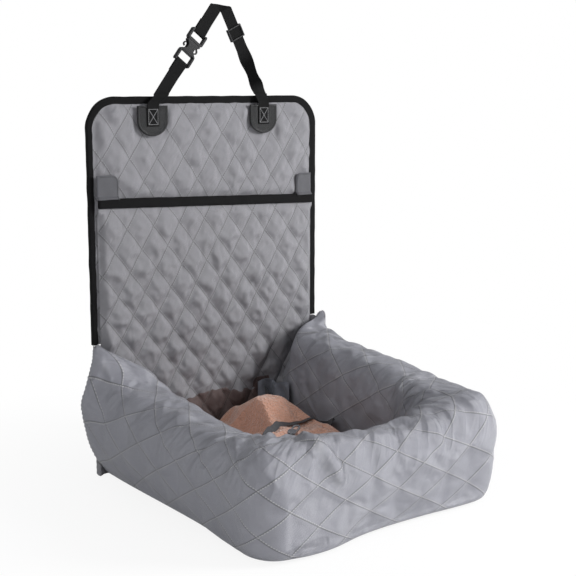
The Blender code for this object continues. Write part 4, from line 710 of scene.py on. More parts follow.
# %% Path and section of the walls
WALL_REAR = 0.2462
WALL_FRONT = -0.270
WALL_OUTER = 0.259
INNER_HALF = 0.138
INNER_FRONT = -0.158
OUTER_RADIUS = 0.052
INNER_RADIUS = 0.016
OUTER_SIDE = WALL_REAR - WALL_FRONT - OUTER_RADIUS
OUTER_TURN = OUTER_RADIUS * math.pi / 2
OUTER_FRONT = WALL_OUTER - OUTER_RADIUS
INNER_SIDE = WALL_REAR - INNER_FRONT - INNER_RADIUS
INNER_TURN = INNER_RADIUS * math.pi / 2
INNER_ACROSS = INNER_HALF - INNER_RADIUS
HALF_LENGTH = OUTER_SIDE + OUTER_TURN + OUTER_FRONT
WALL_LENGTH = 2 * HALF_LENGTH
# How far along the walls on each side of the corner the inner cloth is gathered up
FAN = 0.12
print("wall length", WALL_LENGTH)

# Height of the crown along the walls: share of the length, height in metres
CROWN_TABLE = (
    (0.000, 0.250), (0.012, 0.236), (0.035, 0.198), (0.07, 0.180), (0.14, 0.172), (0.20, 0.166),
    (0.26, 0.163), (0.31, 0.171), (0.335, 0.176), (0.365, 0.174), (0.41, 0.170), (0.46, 0.163),
    (0.52, 0.160), (0.58, 0.166), (0.63, 0.178), (0.665, 0.190), (0.70, 0.194), (0.76, 0.200),
    (0.83, 0.212), (0.90, 0.220), (0.96, 0.229), (0.988, 0.242), (1.000, 0.250),
)

# How far the foot stands out beyond the walls' outer face along the same length
FOOT_TABLE = (
    (0.000, -0.014), (0.21, -0.014), (0.263, -0.006), (0.31, -0.003), (0.3625, 0.006),
    (0.389, 0.013), (0.4205, 0.011), (0.461, -0.003), (0.50, -0.009), (0.552, -0.009),
    (0.6135, -0.005), (0.657, -0.006), (0.72, -0.012), (1.000, -0.014),
)


def read_table(table, place):
    """Read a height from a table of places, on a smooth curve through its points."""
    index = 0
    while index < len(table) - 2 and place > table[index + 1][0]:
        index += 1
    (start, low), (end, high) = table[index], table[index + 1]
    before, after = table[max(index - 1, 0)], table[min(index + 2, len(table) - 1)]
    span = end - start
    rise = (high - before[1]) / (end - before[0]) * span
    fall = (after[1] - low) / (after[0] - start) * span
    t = (place - start) / span
    return (low * (2 * t ** 3 - 3 * t ** 2 + 1) + rise * (t ** 3 - 2 * t ** 2 + t)
            + high * (3 * t ** 2 - 2 * t ** 3) + fall * (t ** 3 - t ** 2))


def path_point(run, side_x, front_y, radius, side_run, turn_run):
    """Point of a path that runs forward along the left side, round a corner and across."""
    if run <= side_run:
        return Vector((-side_x, WALL_REAR - run, 0))
    middle = Vector((-side_x + radius, front_y + radius, 0))
    if run <= side_run + turn_run:
        angle = (run - side_run) / radius
        return middle - Vector((math.cos(angle), math.sin(angle), 0)) * radius
    return Vector((middle.x + run - side_run - turn_run, front_y, 0))


def wall_station(run):
    """Inner and outer point of the walls in plan at a length along the outside, and the gather."""
    if run > HALF_LENGTH:
        inner, outer, gather = wall_station(WALL_LENGTH - run)
        return Vector((-inner.x, inner.y, 0)), Vector((-outer.x, outer.y, 0)), gather
    outer = path_point(run, WALL_OUTER, WALL_FRONT, OUTER_RADIUS, OUTER_SIDE, OUTER_TURN)
    spare = HALF_LENGTH - INNER_SIDE - INNER_TURN - INNER_ACROSS
    turn = min(1, max(0, (run - OUTER_SIDE + FAN) / (OUTER_TURN + 2 * FAN)))
    inner = path_point(run - spare * turn, INNER_HALF, INNER_FRONT, INNER_RADIUS, INNER_SIDE,
                       INNER_TURN)
    return inner, outer, turn


SECTION_FOOT = 0.0022  # height of the walls' underside
SECTION_POINTS = 96
# How square the section is: powers of its offset and its height, near 0 for a box and 1 for an oval
LOWER_POWERS, UPPER_POWERS = (0.26, 0.34), (0.62, 0.80)


def section_table(crown, wide):
    """The stuffed section at a crown height: offset, height and girth from under its middle."""
    half = wide / 2 - 0.002
    tall = (crown - SECTION_FOOT) / 2
    rows = []
    girth = 0.0
    for index in range(SECTION_POINTS + 1):
        angle = 2 * math.pi * index / SECTION_POINTS - math.pi / 2
        across, up = math.cos(angle), math.sin(angle)
        side_power, rise_power = LOWER_POWERS if up < 0 else UPPER_POWERS
        offset = half * math.copysign(abs(across) ** side_power, across)
        height = SECTION_FOOT + tall * (1 + math.copysign(abs(up) ** rise_power, up))
        if rows:
            girth += math.hypot(offset - rows[-1][0], height - rows[-1][1])
        rows.append((offset, height, girth))
    return rows


def read_section(rows, share):
    """Offset and height at a share of the section's girth."""
    wanted = rows[-1][2] * share
    low, high = 0, len(rows) - 1
    while high - low > 1:
        middle = (low + high) // 2
        if rows[middle][2] <= wanted:
            low = middle
        else:
            high = middle
    start, end = rows[low], rows[high]
    part = (wanted - start[2]) / max(end[2] - start[2], 1e-9)
    return start[0] + (end[0] - start[0]) * part, start[1] + (end[1] - start[1]) * part


# %% [markdown]
# The photograph shows gathers that fan out of the inner corners, slack creases beside the front
# corners, pulled-up tips where the side walls are sewn to the back, and shallow puckers all over.
# They are laid in first, so that the simulation only has to swell the cloth. The creases come
# from the same table as in the cover's finish: the mesh holds their soft form, and the finish
# their sharp middle.

# %% The walls
SECTIONS = {}
GATHERS = 5.5  # gathers that fan out of an inner corner
LEFT_BELLY, RIGHT_BELLY, CORNER_BELLY = 0.014, 0.010, 0.005  # how far the outsides bulge
TIP_LENGTH, TIP_PUSH, TIP_TAPER = 0.05, 0.056, 0.72  # the drawn-up ends beside the back


def wall_section(run, wide):
    """Section at a length, kept for reuse."""
    key = round(run, 4)
    if key not in SECTIONS:
        SECTIONS[key] = section_table(read_table(CROWN_TABLE, run / WALL_LENGTH), wide)
    return SECTIONS[key]


def wall_folds(run, share, turn):
    """How far the cloth rises or sinks at a place of the wall, in metres."""
    corner = math.sin(math.pi * turn) if 0 < turn < 1 else 0.0
    inside = ramp(share, 0.46, 0.60) * ramp(share, 0.80, 0.68)
    rise = 0.0045 * corner * inside * math.sin(2 * math.pi * GATHERS * turn + 4 * share)
    rise += 0.0050 * noise.noise(Vector((run * 7, share * 6, 1.7)))
    crown = ramp(share, 0.26, 0.40) * ramp(share, 0.84, 0.70)
    ribs = noise.noise(Vector((run * 34 + 3 * share, share * 5, 6.1)))
    rise += 0.0022 * ribs * (0.10 + 0.90 * crown)
    ridged = 1 - abs(noise.noise(Vector((run * 22 - share * 9, share * 12, 2.9)))) * 2
    return rise + 0.0024 * (ridged - 0.6) * (0.14 + 0.86 * crown)


def crease_depth(spot):
    """How far the creases draw a place of the flat pattern in."""
    depth = 0.0
    for start_x, start_y, end_x, end_y, width, deep in WALL_CREASES:
        begin, along = Vector((start_x, start_y)), Vector((end_x - start_x, end_y - start_y))
        part = (spot - begin).dot(along) / along.length_squared
        away = (spot - begin - along * min(1, max(0, part))).length
        depth += 0.8 * deep * math.exp(-(away / (1.5 * width)) ** 2)
    return depth


def wall_place(run, share):
    """Where a point of the flat pattern lies on the walls."""
    inner, outer, _ = wall_station(run)
    outward = (outer - inner).normalized()
    middle = (inner + outer) / 2
    offset, height = read_section(wall_section(run, (outer - inner).length), share)
    from_rear = min(run, WALL_LENGTH - run)
    crown = read_table(CROWN_TABLE, run / WALL_LENGTH)
    if offset > 0:
        belly = math.sin(math.pi * min(1, height / 0.24)) * offset / 0.05
        if run < HALF_LENGTH:
            offset += LEFT_BELLY * ramp(from_rear, 0.34, 0.10) * belly
        else:
            at_corner = ramp(abs(from_rear - OUTER_SIDE), 0.12, 0)
            offset += (RIGHT_BELLY * ramp(from_rear, 0.25, 0) + CORNER_BELLY * at_corner) * belly
        low_down = ramp(height, 0.085, 0) * min(1, offset / 0.04)
        offset += read_table(FOOT_TABLE, run / WALL_LENGTH) * low_down
    tip = ramp(from_rear, TIP_LENGTH, 0)
    middle = middle + outward * TIP_PUSH * tip * (height / crown) ** 2
    offset *= 1 - TIP_TAPER * tip * ramp(height / crown, 0.55, 1)
    spot = middle + outward * offset
    spot.z = height
    return spot


WALL_PATTERN = (WALL_LENGTH / 14, 0.0625)  # whole diamonds along the walls
PATTERN_GIRTH = 0.5
PATTERN_START = -0.0097
low, high = (PATTERN_START, 0), (PATTERN_START + WALL_LENGTH, PATTERN_GIRTH)
bolster_cloth = diamond_cloth(*WALL_PATTERN, 10, box_cuts(low, high), low, high)
hold = bolster_cloth.verts.layers.float["held"]
for point in bolster_cloth.verts:
    run, share = point.co.x - PATTERN_START, point.co.y / PATTERN_GIRTH
    puff = min(off_stitch(*point.co.xy, *WALL_PATTERN))
    spot = wall_place(run, share)
    ends = min(run + 0.002, WALL_LENGTH), max(run - 0.002, 0)
    beside = wall_place(ends[0], share) - wall_place(ends[1], share)
    above = wall_place(run, (share + 0.004) % 1) - wall_place(run, (share - 0.004) % 1)
    outward = above.cross(beside).normalized()
    under = ramp(share, 0.1, 0.15) * ramp(share, 0.96, 0.91)
    rise = wall_folds(run, share, wall_station(run)[2]) + 0.0016 * math.sqrt(puff)
    point.co = spot + outward * (rise - crease_depth(point.co.xy)) * under
    at_end = min(run, WALL_LENGTH - run) < 0.004
    point[hold] = 1.0 if under < 0.1 or at_end else (0.5 if puff < 0.01 else 0.0)
bmesh.ops.remove_doubles(bolster_cloth, verts=bolster_cloth.verts[:], dist=0.0004)
rims = [edge for edge in bolster_cloth.edges if edge.is_boundary]
bmesh.ops.holes_fill(bolster_cloth, edges=rims, sides=0)
bmesh.ops.recalc_face_normals(bolster_cloth, faces=bolster_cloth.faces[:])
bolster = as_piece("bed_bolster", bolster_cloth, grey_wall_quilting, "quilted_cloth", "bed",
                   "left_wall", "right_wall", "front_wall")
inflate(bolster, slack=0.018, reach=0.0045, frames=9, bend=1.0)
round_off(bolster)
print("the walls have", len(bolster.data.polygons), "faces")

# %% [markdown]
# ## The quilted back
# The back is a padded board with rounded top corners. Below the pocket's edge a second quilted
# cloth lies over it, and the same cloth runs on over the fold and down behind the cushion. So it
# is made as one long apron that bends at the fold when the back is folded down.

# %% Back, apron and rear pad
NODE = (-0.0017, 0.6595)  # a crossing of stitches, which fixes the lattice
BACK_HALF, BACK_LOW, BACK_TOP, BACK_RADIUS = 0.2492, 0.2456, 0.6852, 0.0552
# Y of the front and rear faces of the three cloths of the back
BOARD_FRONT, BOARD_REAR = 0.2556, 0.2682
APRON_FRONT, APRON_REAR = 0.2512, 0.2534
PAD_FRONT, PAD_REAR = 0.2538, 0.2696
POCKET_MIDDLE, POCKET_SAG = 0.484, 0.034  # height of the pocket's edge at X 0, and its slope
back_cuts = []
for side, start, end in ((1, 0, 90), (-1, 90, 180)):
    corner = (side * (BACK_HALF - BACK_RADIUS), BACK_TOP - BACK_RADIUS)
    back_cuts += round_cuts(corner, (BACK_RADIUS, BACK_RADIUS), start, end)


def pocket_line(x):
    """Height of the pocket's top edge, which sags to the right."""
    return POCKET_MIDDLE - POCKET_SAG * x


def quilt_rise(x, z, off, deep=1.0):
    """Swell of the panels' quilting: deep valleys along one course of stitches, puckers between."""
    rising, falling = off
    swell = 0.0074 * falling ** 0.45 * (0.25 + 0.75 * rising ** 0.55)
    pucker = noise.noise(Vector((x * 60 + z * 22, z * 36 - x * 12, 3.3)))
    ridged = 1 - 2 * abs(noise.noise(Vector((x * 30 + z * 34, z * 22 - x * 26, 8.1))))
    swell += 0.0022 * pucker * math.sqrt(falling) + 0.0026 * ridged * math.sqrt(falling * rising)
    return deep * swell


PRESSED = [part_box(name + side)
           for name in ("strap_tab", "corner_patch") for side in ("_left", "_right")]
BAND_RISE = 0.0086  # how far the middle of the pocket's tape lies above the pocket's edge


def press(x, z):
    """Share of the quilting's swell that is left under the tabs, patches and pocket's tape."""
    share = ramp(abs(z - pocket_line(x) - BAND_RISE), 0.006, 0.024)
    for low_corner, high_corner in PRESSED:
        out = max(low_corner[0] - x, x - high_corner[0], low_corner[2] - z, z - high_corner[2])
        share = min(share, 0.1 + 0.9 * ramp(out, -0.002, 0.012))
    return share


def back_front(x, z, inside, off):
    above = ramp(z - pocket_line(x), -0.025, 0.0) * press(x, z)
    y = BOARD_FRONT - above * quilt_rise(x, z, off) * ramp(inside, 0.012, 0.03)
    return Vector((x, y + 0.0045 * ramp(inside, 0.020, 0.010), z))


def back_rear(x, z, inside, off):
    sway = 0.0007 * noise.noise((x * 12, z * 12, 4))
    return Vector((x, BOARD_REAR - 0.0012 * ramp(inside, 0.01, 0) + sway, z))


back_board = soft_slab("back_board", (-BACK_HALF, BACK_LOW), (BACK_HALF, BACK_TOP),
                       (back_front, back_rear), grey_quilting, "quilted_cloth", "back",
                       ("back_panel",), back_cuts, PANEL_DIAMOND, 8, NODE, pinned=True)
inflate(back_board, slack=0.025, reach=0.0018, frames=8, bend=0.3)
round_off(back_board)

ANCHOR = (0.112, 0.124)  # X and height of the place where the tether is sewn on
POCKET_TURN = 3.2  # degrees that the pocket's lattice leans


def tuck(x, z, inside):
    """How far the apron's edge is tucked under the tape."""
    return ramp(inside, 0.010, 0.002) if z < pocket_line(x) - 0.01 else 0.0


def apron_front(x, z, inside, off):
    beside_anchor = math.hypot(x - ANCHOR[0], z - ANCHOR[1])
    rise = quilt_rise(x, z, off, 1.0 + 0.35 * ramp(z, 0.42, 0.30)) * press(x, z)
    rise *= ramp(inside, 0.001, 0.014) * ramp(beside_anchor, 0.014, 0.03)
    return Vector((x, APRON_FRONT - rise + 0.0055 * tuck(x, z, inside), z))


def apron_rear(x, z, inside, off):
    return Vector((x, APRON_REAR + 0.0042 * tuck(x, z, inside), z))


apron_cut = [((0, POCKET_MIDDLE), tuple(Vector((POCKET_SAG, 1)).normalized()))]
apron = soft_slab("pocket_apron", (-0.2378, 0.086), (0.2378, 0.4935), (apron_front, apron_rear),
                  pocket_quilting, "quilted_cloth", None, ("pocket_panel",), apron_cut,
                  POCKET_DIAMOND, 8, NODE, POCKET_TURN, pinned=True)
inflate(apron, slack=0.04, reach=0.0026, frames=8, bend=0.3)
round_off(apron)
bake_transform(apron, "bed", "back", (0, 0.2507, 0.236), (0, 0.2507, 0.254))


def pad_front(x, z, inside, off):
    beside = ramp(abs(x), 0.236, 0.2485)
    rounding = (0.005 - 0.004 * beside) * ramp(inside, 0.007, 0)
    return Vector((x, PAD_FRONT - 0.0060 * beside + rounding, z))


def pad_rear(x, z, inside, off):
    sway = 0.0012 * noise.noise((x * 11, z * 14, 2))
    return Vector((x, PAD_REAR - 0.004 * ramp(inside, 0.007, 0) + sway, z))


rear_pad = soft_slab("rear_pad", (-0.2495, 0.0020), (0.2495, 0.2442), (pad_front, pad_rear),
                     grey_quilting, "quilted_cloth", "bed", ("rear_wall",), (), PANEL_DIAMOND, 8,
                     NODE)
round_off(rear_pad)

# %% [markdown]
# ## Floor, strip of painted shade and cushion
# A black cloth closes the bed's underside and a thin pad lies on it. At the rear a brown quilted
# strip covers the foot of the back: its brown is painted shade with a painted warm reflection of the
# plush. The cushion is a crumpled plush mat: its top is laid in with broad folds, which the
# simulation then rounds and slackens.

# %% Floor, strip and cushion
BASE_INSET = 0.044  # the base cloth ends under the walls' foot


def level_side(z, drop, margin):
    """A level side whose rim, as wide as the margin, is moved up by the drop."""
    return lambda x, y, inside, off: Vector((x, y, z + drop * ramp(inside, margin, 0)))


(x0, y0, _), (x1, y1, z1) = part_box("bottom_cover")
cover_cuts = []
for side, start, end in ((1, 270, 360), (-1, 180, 270)):
    cover_cuts += round_cuts((side * (x1 - 0.06), y0 + 0.06), (0.06, 0.06), start, end, 6)
soft_slab("base_cloth", (x0 + BASE_INSET, y0 + BASE_INSET), (x1 - BASE_INSET, y1 - 0.016),
          (level_side(z1, -0.0018, 0.003), level_side(0, 0.0012, 0.003)),
          black_cloth, "black_cloth", "bed", ("bottom_cover",), cover_cuts, (0.04, 0.04), 3)

(x0, y0, z0), (x1, y1, z1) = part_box("floor_pad")
floor_pad = soft_slab("floor_padding", (x0, y0), (x1, y1),
                      (level_side(z1, -0.007, 0.012), level_side(z0, 0.004, 0.012)),
                      black_cloth, "black_cloth", "bed", ("floor_pad",), (), (0.02, 0.02), 3)

SHADE_STRIP_TOP = 0.136
# Where the upper edge of the strip's painted shade shows: X and height
SHADE_EDGE = ((-0.20, 0.112), (-0.053, 0.120), (-0.024, 0.126), (0.022, 0.126), (0.0575, 0.117),
              (0.10, 0.119), (0.142, 0.125), (0.20, 0.126))


def shade_strip_front(x, z, inside, off):
    apron_y = apron_front(x, z, 1.0, off).y
    # The upper edge is ragged along the puckers, as the edge of the painted shade.
    ragged = 0.006 * noise.noise(Vector((x * 75, 0, 2.2))) + 0.004 * (off[1] - 0.5)
    above = ramp(z - read_table(SHADE_EDGE, x) - ragged, -0.001, 0.0015)
    return Vector((x, apron_y - 0.0016 + 0.0055 * above + 0.004 * ramp(inside, 0.004, 0), z))


def shade_strip_rear(x, z, inside, off):
    return Vector((x, 0.2500, z))


(x0, _, z0), (x1, _, _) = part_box("lining_strip")
# This strip is a sheet of painted shade: its brown is the shade at the foot of the back with a painted warm
# reflection of the plush.
lining = soft_slab("brown_strip", (x0, z0), (x1, SHADE_STRIP_TOP), (shade_strip_front, shade_strip_rear),
                   painted_shade_quilting, "lining_cloth", "bed", ("lining_strip",), (), POCKET_DIAMOND,
                   20, NODE, POCKET_TURN)

(cx0, cy0, cz0), (cx1, cy1, _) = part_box("plush_cushion")
CUSHION_CORNER = 0.03
HUMP = (0.044, 0.130)  # the highest place of the cushion
HOLLOW = (-0.014, -0.026)  # where the tether's hook has pressed it down


def plush_height(x, y):
    """Height of the crumpled plush above the pad, away from its edge."""
    beside = x - HUMP[0]
    hump = math.exp(-(beside / 0.040) ** 4) if beside < 0 else math.exp(-(beside / 0.058) ** 2)
    hump *= math.exp(-((y - HUMP[1]) / 0.052) ** 2)
    hollow = math.exp(-((x - HOLLOW[0]) / 0.040) ** 2 - ((y - HOLLOW[1]) / 0.040) ** 2)
    low = ramp(y, 0.02, 0.11) * ramp(x, 0.02, -0.02)
    fold = 1 - 2 * abs(noise.noise(Vector((x * 15 + 3 * y, y * 10 - 4 * x, 5.2))))
    small = noise.noise(Vector((x * 46, y * 38, 1.1)))
    height = 0.064 + 0.034 * hump - 0.014 * hollow - 0.021 * low
    return height + 0.010 * (fold - 0.55) + 0.0022 * small


def plush_top(x, y, inside, off):
    rise = math.sqrt(ramp(inside, -0.002, 0.034))
    return Vector((x, y, cz0 + 0.012 + (plush_height(x, y) - 0.012) * rise))


def plush_foot(x, y, inside, off):
    middle = Vector((0, (cy0 + cy1) / 2))
    drawn = Vector((x, y)) + (middle - Vector((x, y))).normalized() * 0.008 * ramp(inside, 0.02, 0)
    return Vector((drawn.x, drawn.y, cz0 + 0.004 * ramp(inside, 0.01, 0)))


cushion_cuts = []
for sx, sy, start in ((1, 1, 0), (-1, 1, 90), (-1, -1, 180), (1, -1, 270)):
    corner = (sx * (cx1 - CUSHION_CORNER),
              (cy0 + cy1) / 2 + sy * ((cy1 - cy0) / 2 - CUSHION_CORNER))
    cushion_cuts += round_cuts(corner, (CUSHION_CORNER, CUSHION_CORNER), start, start + 90, 5)
cushion = soft_slab("plush_mat", (cx0, cy0), (cx1, cy1), (plush_top, plush_foot), peach_plush,
                    "plush", "bed", ("plush_cushion",), cushion_cuts, (0.014, 0.014), 2)
inflate(cushion, slack=0.05, reach=0.006, frames=9, bend=0.4)
round_off(cushion)

# %% [markdown]
# ## Bound edges
# A strip of tape is a flat section carried along a line. The section's middle follows the line,
# and its flat side faces out. The tape round the back grips the board's edge, so its section is
# nearly square; the pocket's tape lies flatter.


# %% Tapes
def whole_profile(half):
    """Profile of a strip's upper side, from its left half: share of the width and of the height."""
    return half + tuple((-u, v) for u, v in reversed(half) if u)


WEB_PROFILE = whole_profile(((-0.5, 0.3), (-0.485, 0.85), (-0.46, 1.25), (-0.42, 1.25), (-0.39, 1),
                             (-0.2, 1), (0, 1)))
BAR_PROFILE = whole_profile(((-0.5, 0.5), (-0.485, 0.78), (-0.45, 0.95), (-0.38, 1), (-0.2, 0.97),
                             (0, 0.96)))


def flat_section(width, thickness, profile):
    """Closed section from the profile of its upper side."""
    upper = [(width * u, thickness / 2 * v) for u, v in profile]
    return upper + [(u, -v) for u, v in reversed(upper)]


def sweep(stations, section, width):
    """Tube of a section carried along stations, each a middle, an across and an out vector."""
    rows, columns = len(stations) - 1, len(section)
    tube = bmesh.new()
    bmesh.ops.create_grid(tube, x_segments=columns, y_segments=rows, size=0.5)
    layer = tube.loops.layers.uv.new("pattern")
    lengths = [0.0]
    for start, end in zip(stations, stations[1:]):
        lengths.append(lengths[-1] + (end[0] - start[0]).length)
    places = {}
    for point in tube.verts:
        column = round((point.co.x + 0.5) * columns) % columns
        places[point] = (column, round((point.co.y + 0.5) * rows))
    for face in tube.faces:
        for corner in face.loops:
            column, row = places[corner.vert]
            corner[layer].uv = (section[column][0] / width + 0.5, lengths[row])
    for point, (column, row) in places.items():
        middle, across, out = stations[row]
        point.co = middle + across * section[column][0] + out * section[column][1]
    bmesh.ops.remove_doubles(tube, verts=tube.verts[:], dist=0.000001)
    ends = [edge for edge in tube.edges if edge.is_boundary]
    bmesh.ops.holes_fill(tube, edges=ends, sides=0)
    bmesh.ops.recalc_face_normals(tube, faces=tube.faces[:])
    return tube


OUT = Vector((0, -1, 0))
TAPE_WIDTH, TAPE_THICK = 0.0165, 0.0126
TAPE_HALF, TAPE_TOP, TAPE_RADIUS = 0.2512, 0.6864, 0.0565
turn_x, turn_z = TAPE_RADIUS - TAPE_HALF, TAPE_TOP - TAPE_RADIUS
tape_path = [(-TAPE_HALF, BACK_LOW + (turn_z - BACK_LOW) * step / 130, 180) for step in range(131)]
for angle in range(177, 89, -3):
    turn = math.radians(angle)
    tape_path.append((turn_x + TAPE_RADIUS * math.cos(turn), turn_z + TAPE_RADIUS * math.sin(turn),
                      angle))
tape_path += [(turn_x * (1 - step / 69), TAPE_TOP, 90) for step in range(1, 70)]
tape_path += [(-x, z, 180 - angle) for x, z, angle in reversed(tape_path[:-1])]
tape_stations = []
for index, (x, z, angle) in enumerate(tape_path):
    turn = math.radians(angle)
    outward = Vector((math.cos(turn), 0, math.sin(turn)))
    wave = 1 + 0.06 * noise.noise(Vector((index * 0.17, 0, 0)))
    wide, thick = wave * (1.06 - 0.44 * angle / 180), wave * (1 - 0.22 * angle / 180)
    sway = 0.0008 * noise.noise(Vector((index * 0.11, 9, 0)))
    middle = Vector((x, 0.2635 + 0.0006 * noise.noise(Vector((index * 0.09, 5, 0))), z))
    middle += outward * (sway - TAPE_WIDTH * wide / 2)
    tape_stations.append((middle, outward * wide, OUT * thick))
tape = sweep(tape_stations, flat_section(TAPE_WIDTH, TAPE_THICK, BAR_PROFILE), TAPE_WIDTH)
as_piece("edge_tape", tape, black_tape, "black_cloth", "back", "edge_binding")

BAND_HALF, BAND_WIDTH, BAND_THICK = 0.2372, 0.0172, 0.0062
band_stations = []
for step in range(161):
    x = BAND_HALF * (step / 80 - 1)
    sag = 0.0006 * noise.noise(Vector((step * 0.11, 3, 0)))
    middle = Vector((x, 0.2502 + sag, pocket_line(x) + BAND_RISE + sag))
    band_stations.append((middle, Vector((POCKET_SAG, 0, 1)), OUT))
band = sweep(band_stations, flat_section(BAND_WIDTH, BAND_THICK, BAR_PROFILE), BAND_WIDTH)
as_piece("pocket_tape", band, black_tape, "black_cloth", "back", "pocket_band")

# %% [markdown]
# ## Corner patches and strap tabs
# Each end of the pocket's tape is covered by a cloth patch, and each strap is sewn to a tab of
# faux leather with a rolled rim. Their sewing is real thread here: short lengths of fine cord.


# %% Patches, tabs and their thread
def thread_lines(name, lines, radius, finish, dash):
    """Sewing thread on the back along lines of points, cut into stitches of the dash's length."""
    data = bpy.data.curves.new(name, "CURVE")
    data.dimensions = "3D"
    data.bevel_depth = radius
    data.bevel_resolution = 1
    data.use_fill_caps = True
    for line in lines:
        walked = 0.0
        runs = [[line[0]]]
        for start, end in zip(line, line[1:]):
            walked += (end - start).length
            if walked > dash:
                walked = 0.0
                runs.append([start.lerp(end, 0.5)])
            runs[-1].append(end)
        for run in runs:
            if len(run) < 2:
                continue
            spline = data.splines.new("POLY")
            spline.points.add(len(run) - 1)
            for spot, point in zip(run, spline.points):
                point.co = (*spot, 1)
    as_finished(bpy.data.objects.new(name, data), finish, "webbing", "back")


def inset_line(points, step=0.0012):
    """The same line with a point at every step."""
    line = [points[0]]
    for start, end in zip(points, points[1:]):
        count = max(1, round((end - start).length / step))
        line += [start.lerp(end, (index + 1) / count) for index in range(count)]
    return line


def arc_points(middle, radii, start, end, steps):
    """Points of an arc in X and Z, from a start to an end angle."""
    angles = [start + (end - start) * step / steps for step in range(steps + 1)]
    return [Vector((middle[0] + radii[0] * math.cos(angle), 0,
                    middle[1] + radii[1] * math.sin(angle))) for angle in angles]


dark_thread = Finish("dark_thread", 0.6, (0.02, 0.02, 0.022)).material
grey_thread = Finish("grey_thread", 0.6, (0.27, 0.27, 0.28)).material

for side, name in ((-1, "left"), (1, "right")):
    (ax0, _, az0), (ax1, _, az1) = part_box("corner_patch_" + name)
    low, high = (ax0 - (0.0065 if side < 0 else 0), az0 - 0.003), (ax1, az1)
    radius = 0.012
    middle = (ax1 - radius if side < 0 else ax0 + radius, az1 - radius)
    cuts = round_cuts(middle, (radius, radius), *((0, 90) if side < 0 else (90, 180)))

    def patch_y(x, z, inside):
        over_tape = ramp(z - pocket_line(x), 0.022, 0.016)
        lift = 0.0016 * math.sqrt(min(1, max(0, inside) / 0.002))
        lift += 0.0008 * noise.noise((x * 60, z * 60, side))
        return APRON_FRONT - 0.0052 * over_tape - lift

    soft_slab("patch_" + name, low, high,
              (lambda x, z, inside, off: Vector((x, patch_y(x, z, inside), z)),
               lambda x, z, inside, off: Vector((x, patch_y(x, z, 0) + 0.0004, z))),
              grey_cloth, "quilted_cloth", "back", ("corner_patch_" + name,), cuts,
              (0.006, 0.006), 3)
    inset = 0.0028
    line = [Vector((middle[0] - side * (radius - inset), 0, az0 - 0.006))]
    line += arc_points(middle, (side * (inset - radius), radius - inset), 0, math.pi / 2, 9)
    line.append(Vector((ax0 if side < 0 else ax1, 0, az1 - inset)))
    line = [Vector((spot.x, patch_y(spot.x, spot.z, inset) - 0.0002, spot.z))
            for spot in inset_line(line)]
    thread_lines("patch_thread_" + name, [line], 0.00035, dark_thread, 0.0034)

TAB_FACE = 0.2497
for name in ("left", "right"):
    (tx0, _, tz0), (tx1, _, tz1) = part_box("strap_tab_" + name)
    half = (tx1 - tx0) / 2
    radii = (half, half * 0.85)
    middle = ((tx0 + tx1) / 2, tz0 + radii[1])
    cuts = round_cuts(middle, radii, 180, 360, 16)

    def tab_front(x, z, inside, off):
        rim = ramp(inside, 0.0042, 0.0030) * 0.0011
        lift = 0.0010 + 0.0012 * math.sqrt(min(1, max(0, inside) / 0.0016)) + rim
        return Vector((x, TAB_FACE - lift, z))

    soft_slab("leather_tab_" + name, (tx0, tz0), (tx1, tz1),
              (tab_front, lambda x, z, inside, off: Vector((x, TAB_FACE, z))), dark_leather,
              "faux_leather", "back", ("strap_tab_" + name,), cuts, (0.004, 0.004), 3)
    inset = 0.0056
    line = [Vector((tx0 + inset, 0, tz1 - 0.002))]
    line += arc_points(middle, [radius - inset for radius in radii], math.pi, 2 * math.pi, 24)
    line.append(Vector((tx1 - inset, 0, tz1 - 0.002)))
    line = [Vector((spot.x, TAB_FACE - 0.0023, spot.z)) for spot in inset_line(line)]
    thread_lines("tab_thread_" + name, [line], 0.00032, dark_thread, 0.003)

# %% [markdown]
# ## Webbing
# A strip of webbing is given by pairs of edge points. The pairs are read at even small steps and
# smoothed a little, because webbing never turns sharply, and then the flat section runs along
# them. Where the strap wraps a bar of the buckle, the pairs go round the bar.


# %% Webbing tools
def strip(pairs, width, thickness, spacing=0.0012, passes=3):
    """Webbing through pairs of edge points."""
    fine = [pairs[0]]
    for (left, right), (next_left, next_right) in zip(pairs, pairs[1:]):
        span = max((next_left - left).length, (next_right - right).length)
        count = max(1, math.ceil(span / spacing))
        for step in range(1, count + 1):
            part = step / count
            fine.append((left.lerp(next_left, part), right.lerp(next_right, part)))
    for _ in range(passes):
        inner = [tuple((before[i] + here[i] * 2 + after[i]) / 4 for i in (0, 1))
                 for before, here, after in zip(fine, fine[1:], fine[2:])]
        fine = [fine[0]] + inner + [fine[-1]]
    stations = []
    last = len(fine) - 1
    middles = [(left + right) / 2 for left, right in fine]
    for index, (left, right) in enumerate(fine):
        ahead = middles[min(index + 1, last)] - middles[max(index - 1, 0)]
        out = (right - left).cross(ahead).normalized()
        stations.append((middles[index], (right - left) / width, out))
    return sweep(stations, flat_section(width, thickness, WEB_PROFILE), width), middles


def strap_frame(start, end, place):
    """Frame on a straight run: X along it, Y across it, Z out of the back."""
    along = (end - start).normalized()
    turn = Matrix((along, OUT.cross(along), OUT)).transposed().to_4x4()
    return Matrix.Translation(start + along * place) @ turn


def bar_wrap(frame, bar, towards, tail, half, radius, reach):
    """Edge pairs that leave a run, go round a bar and lie back behind it."""
    points = []
    for step in range(3):
        leave = tail * (1 - step / 2) + reach / 2
        points.append((bar - towards * leave, radius * ease(step / 2)))
    for step in range(13):
        angle = math.pi * step / 12
        past = reach - radius + radius * math.sin(angle)
        points.append((bar + towards * past, radius * math.cos(angle)))
    points += [(bar - towards * tail / part, -radius) for part in (4, 1)]
    return [(frame @ Vector((u, -half, w)), frame @ Vector((u, half, w))) for u, w in points]


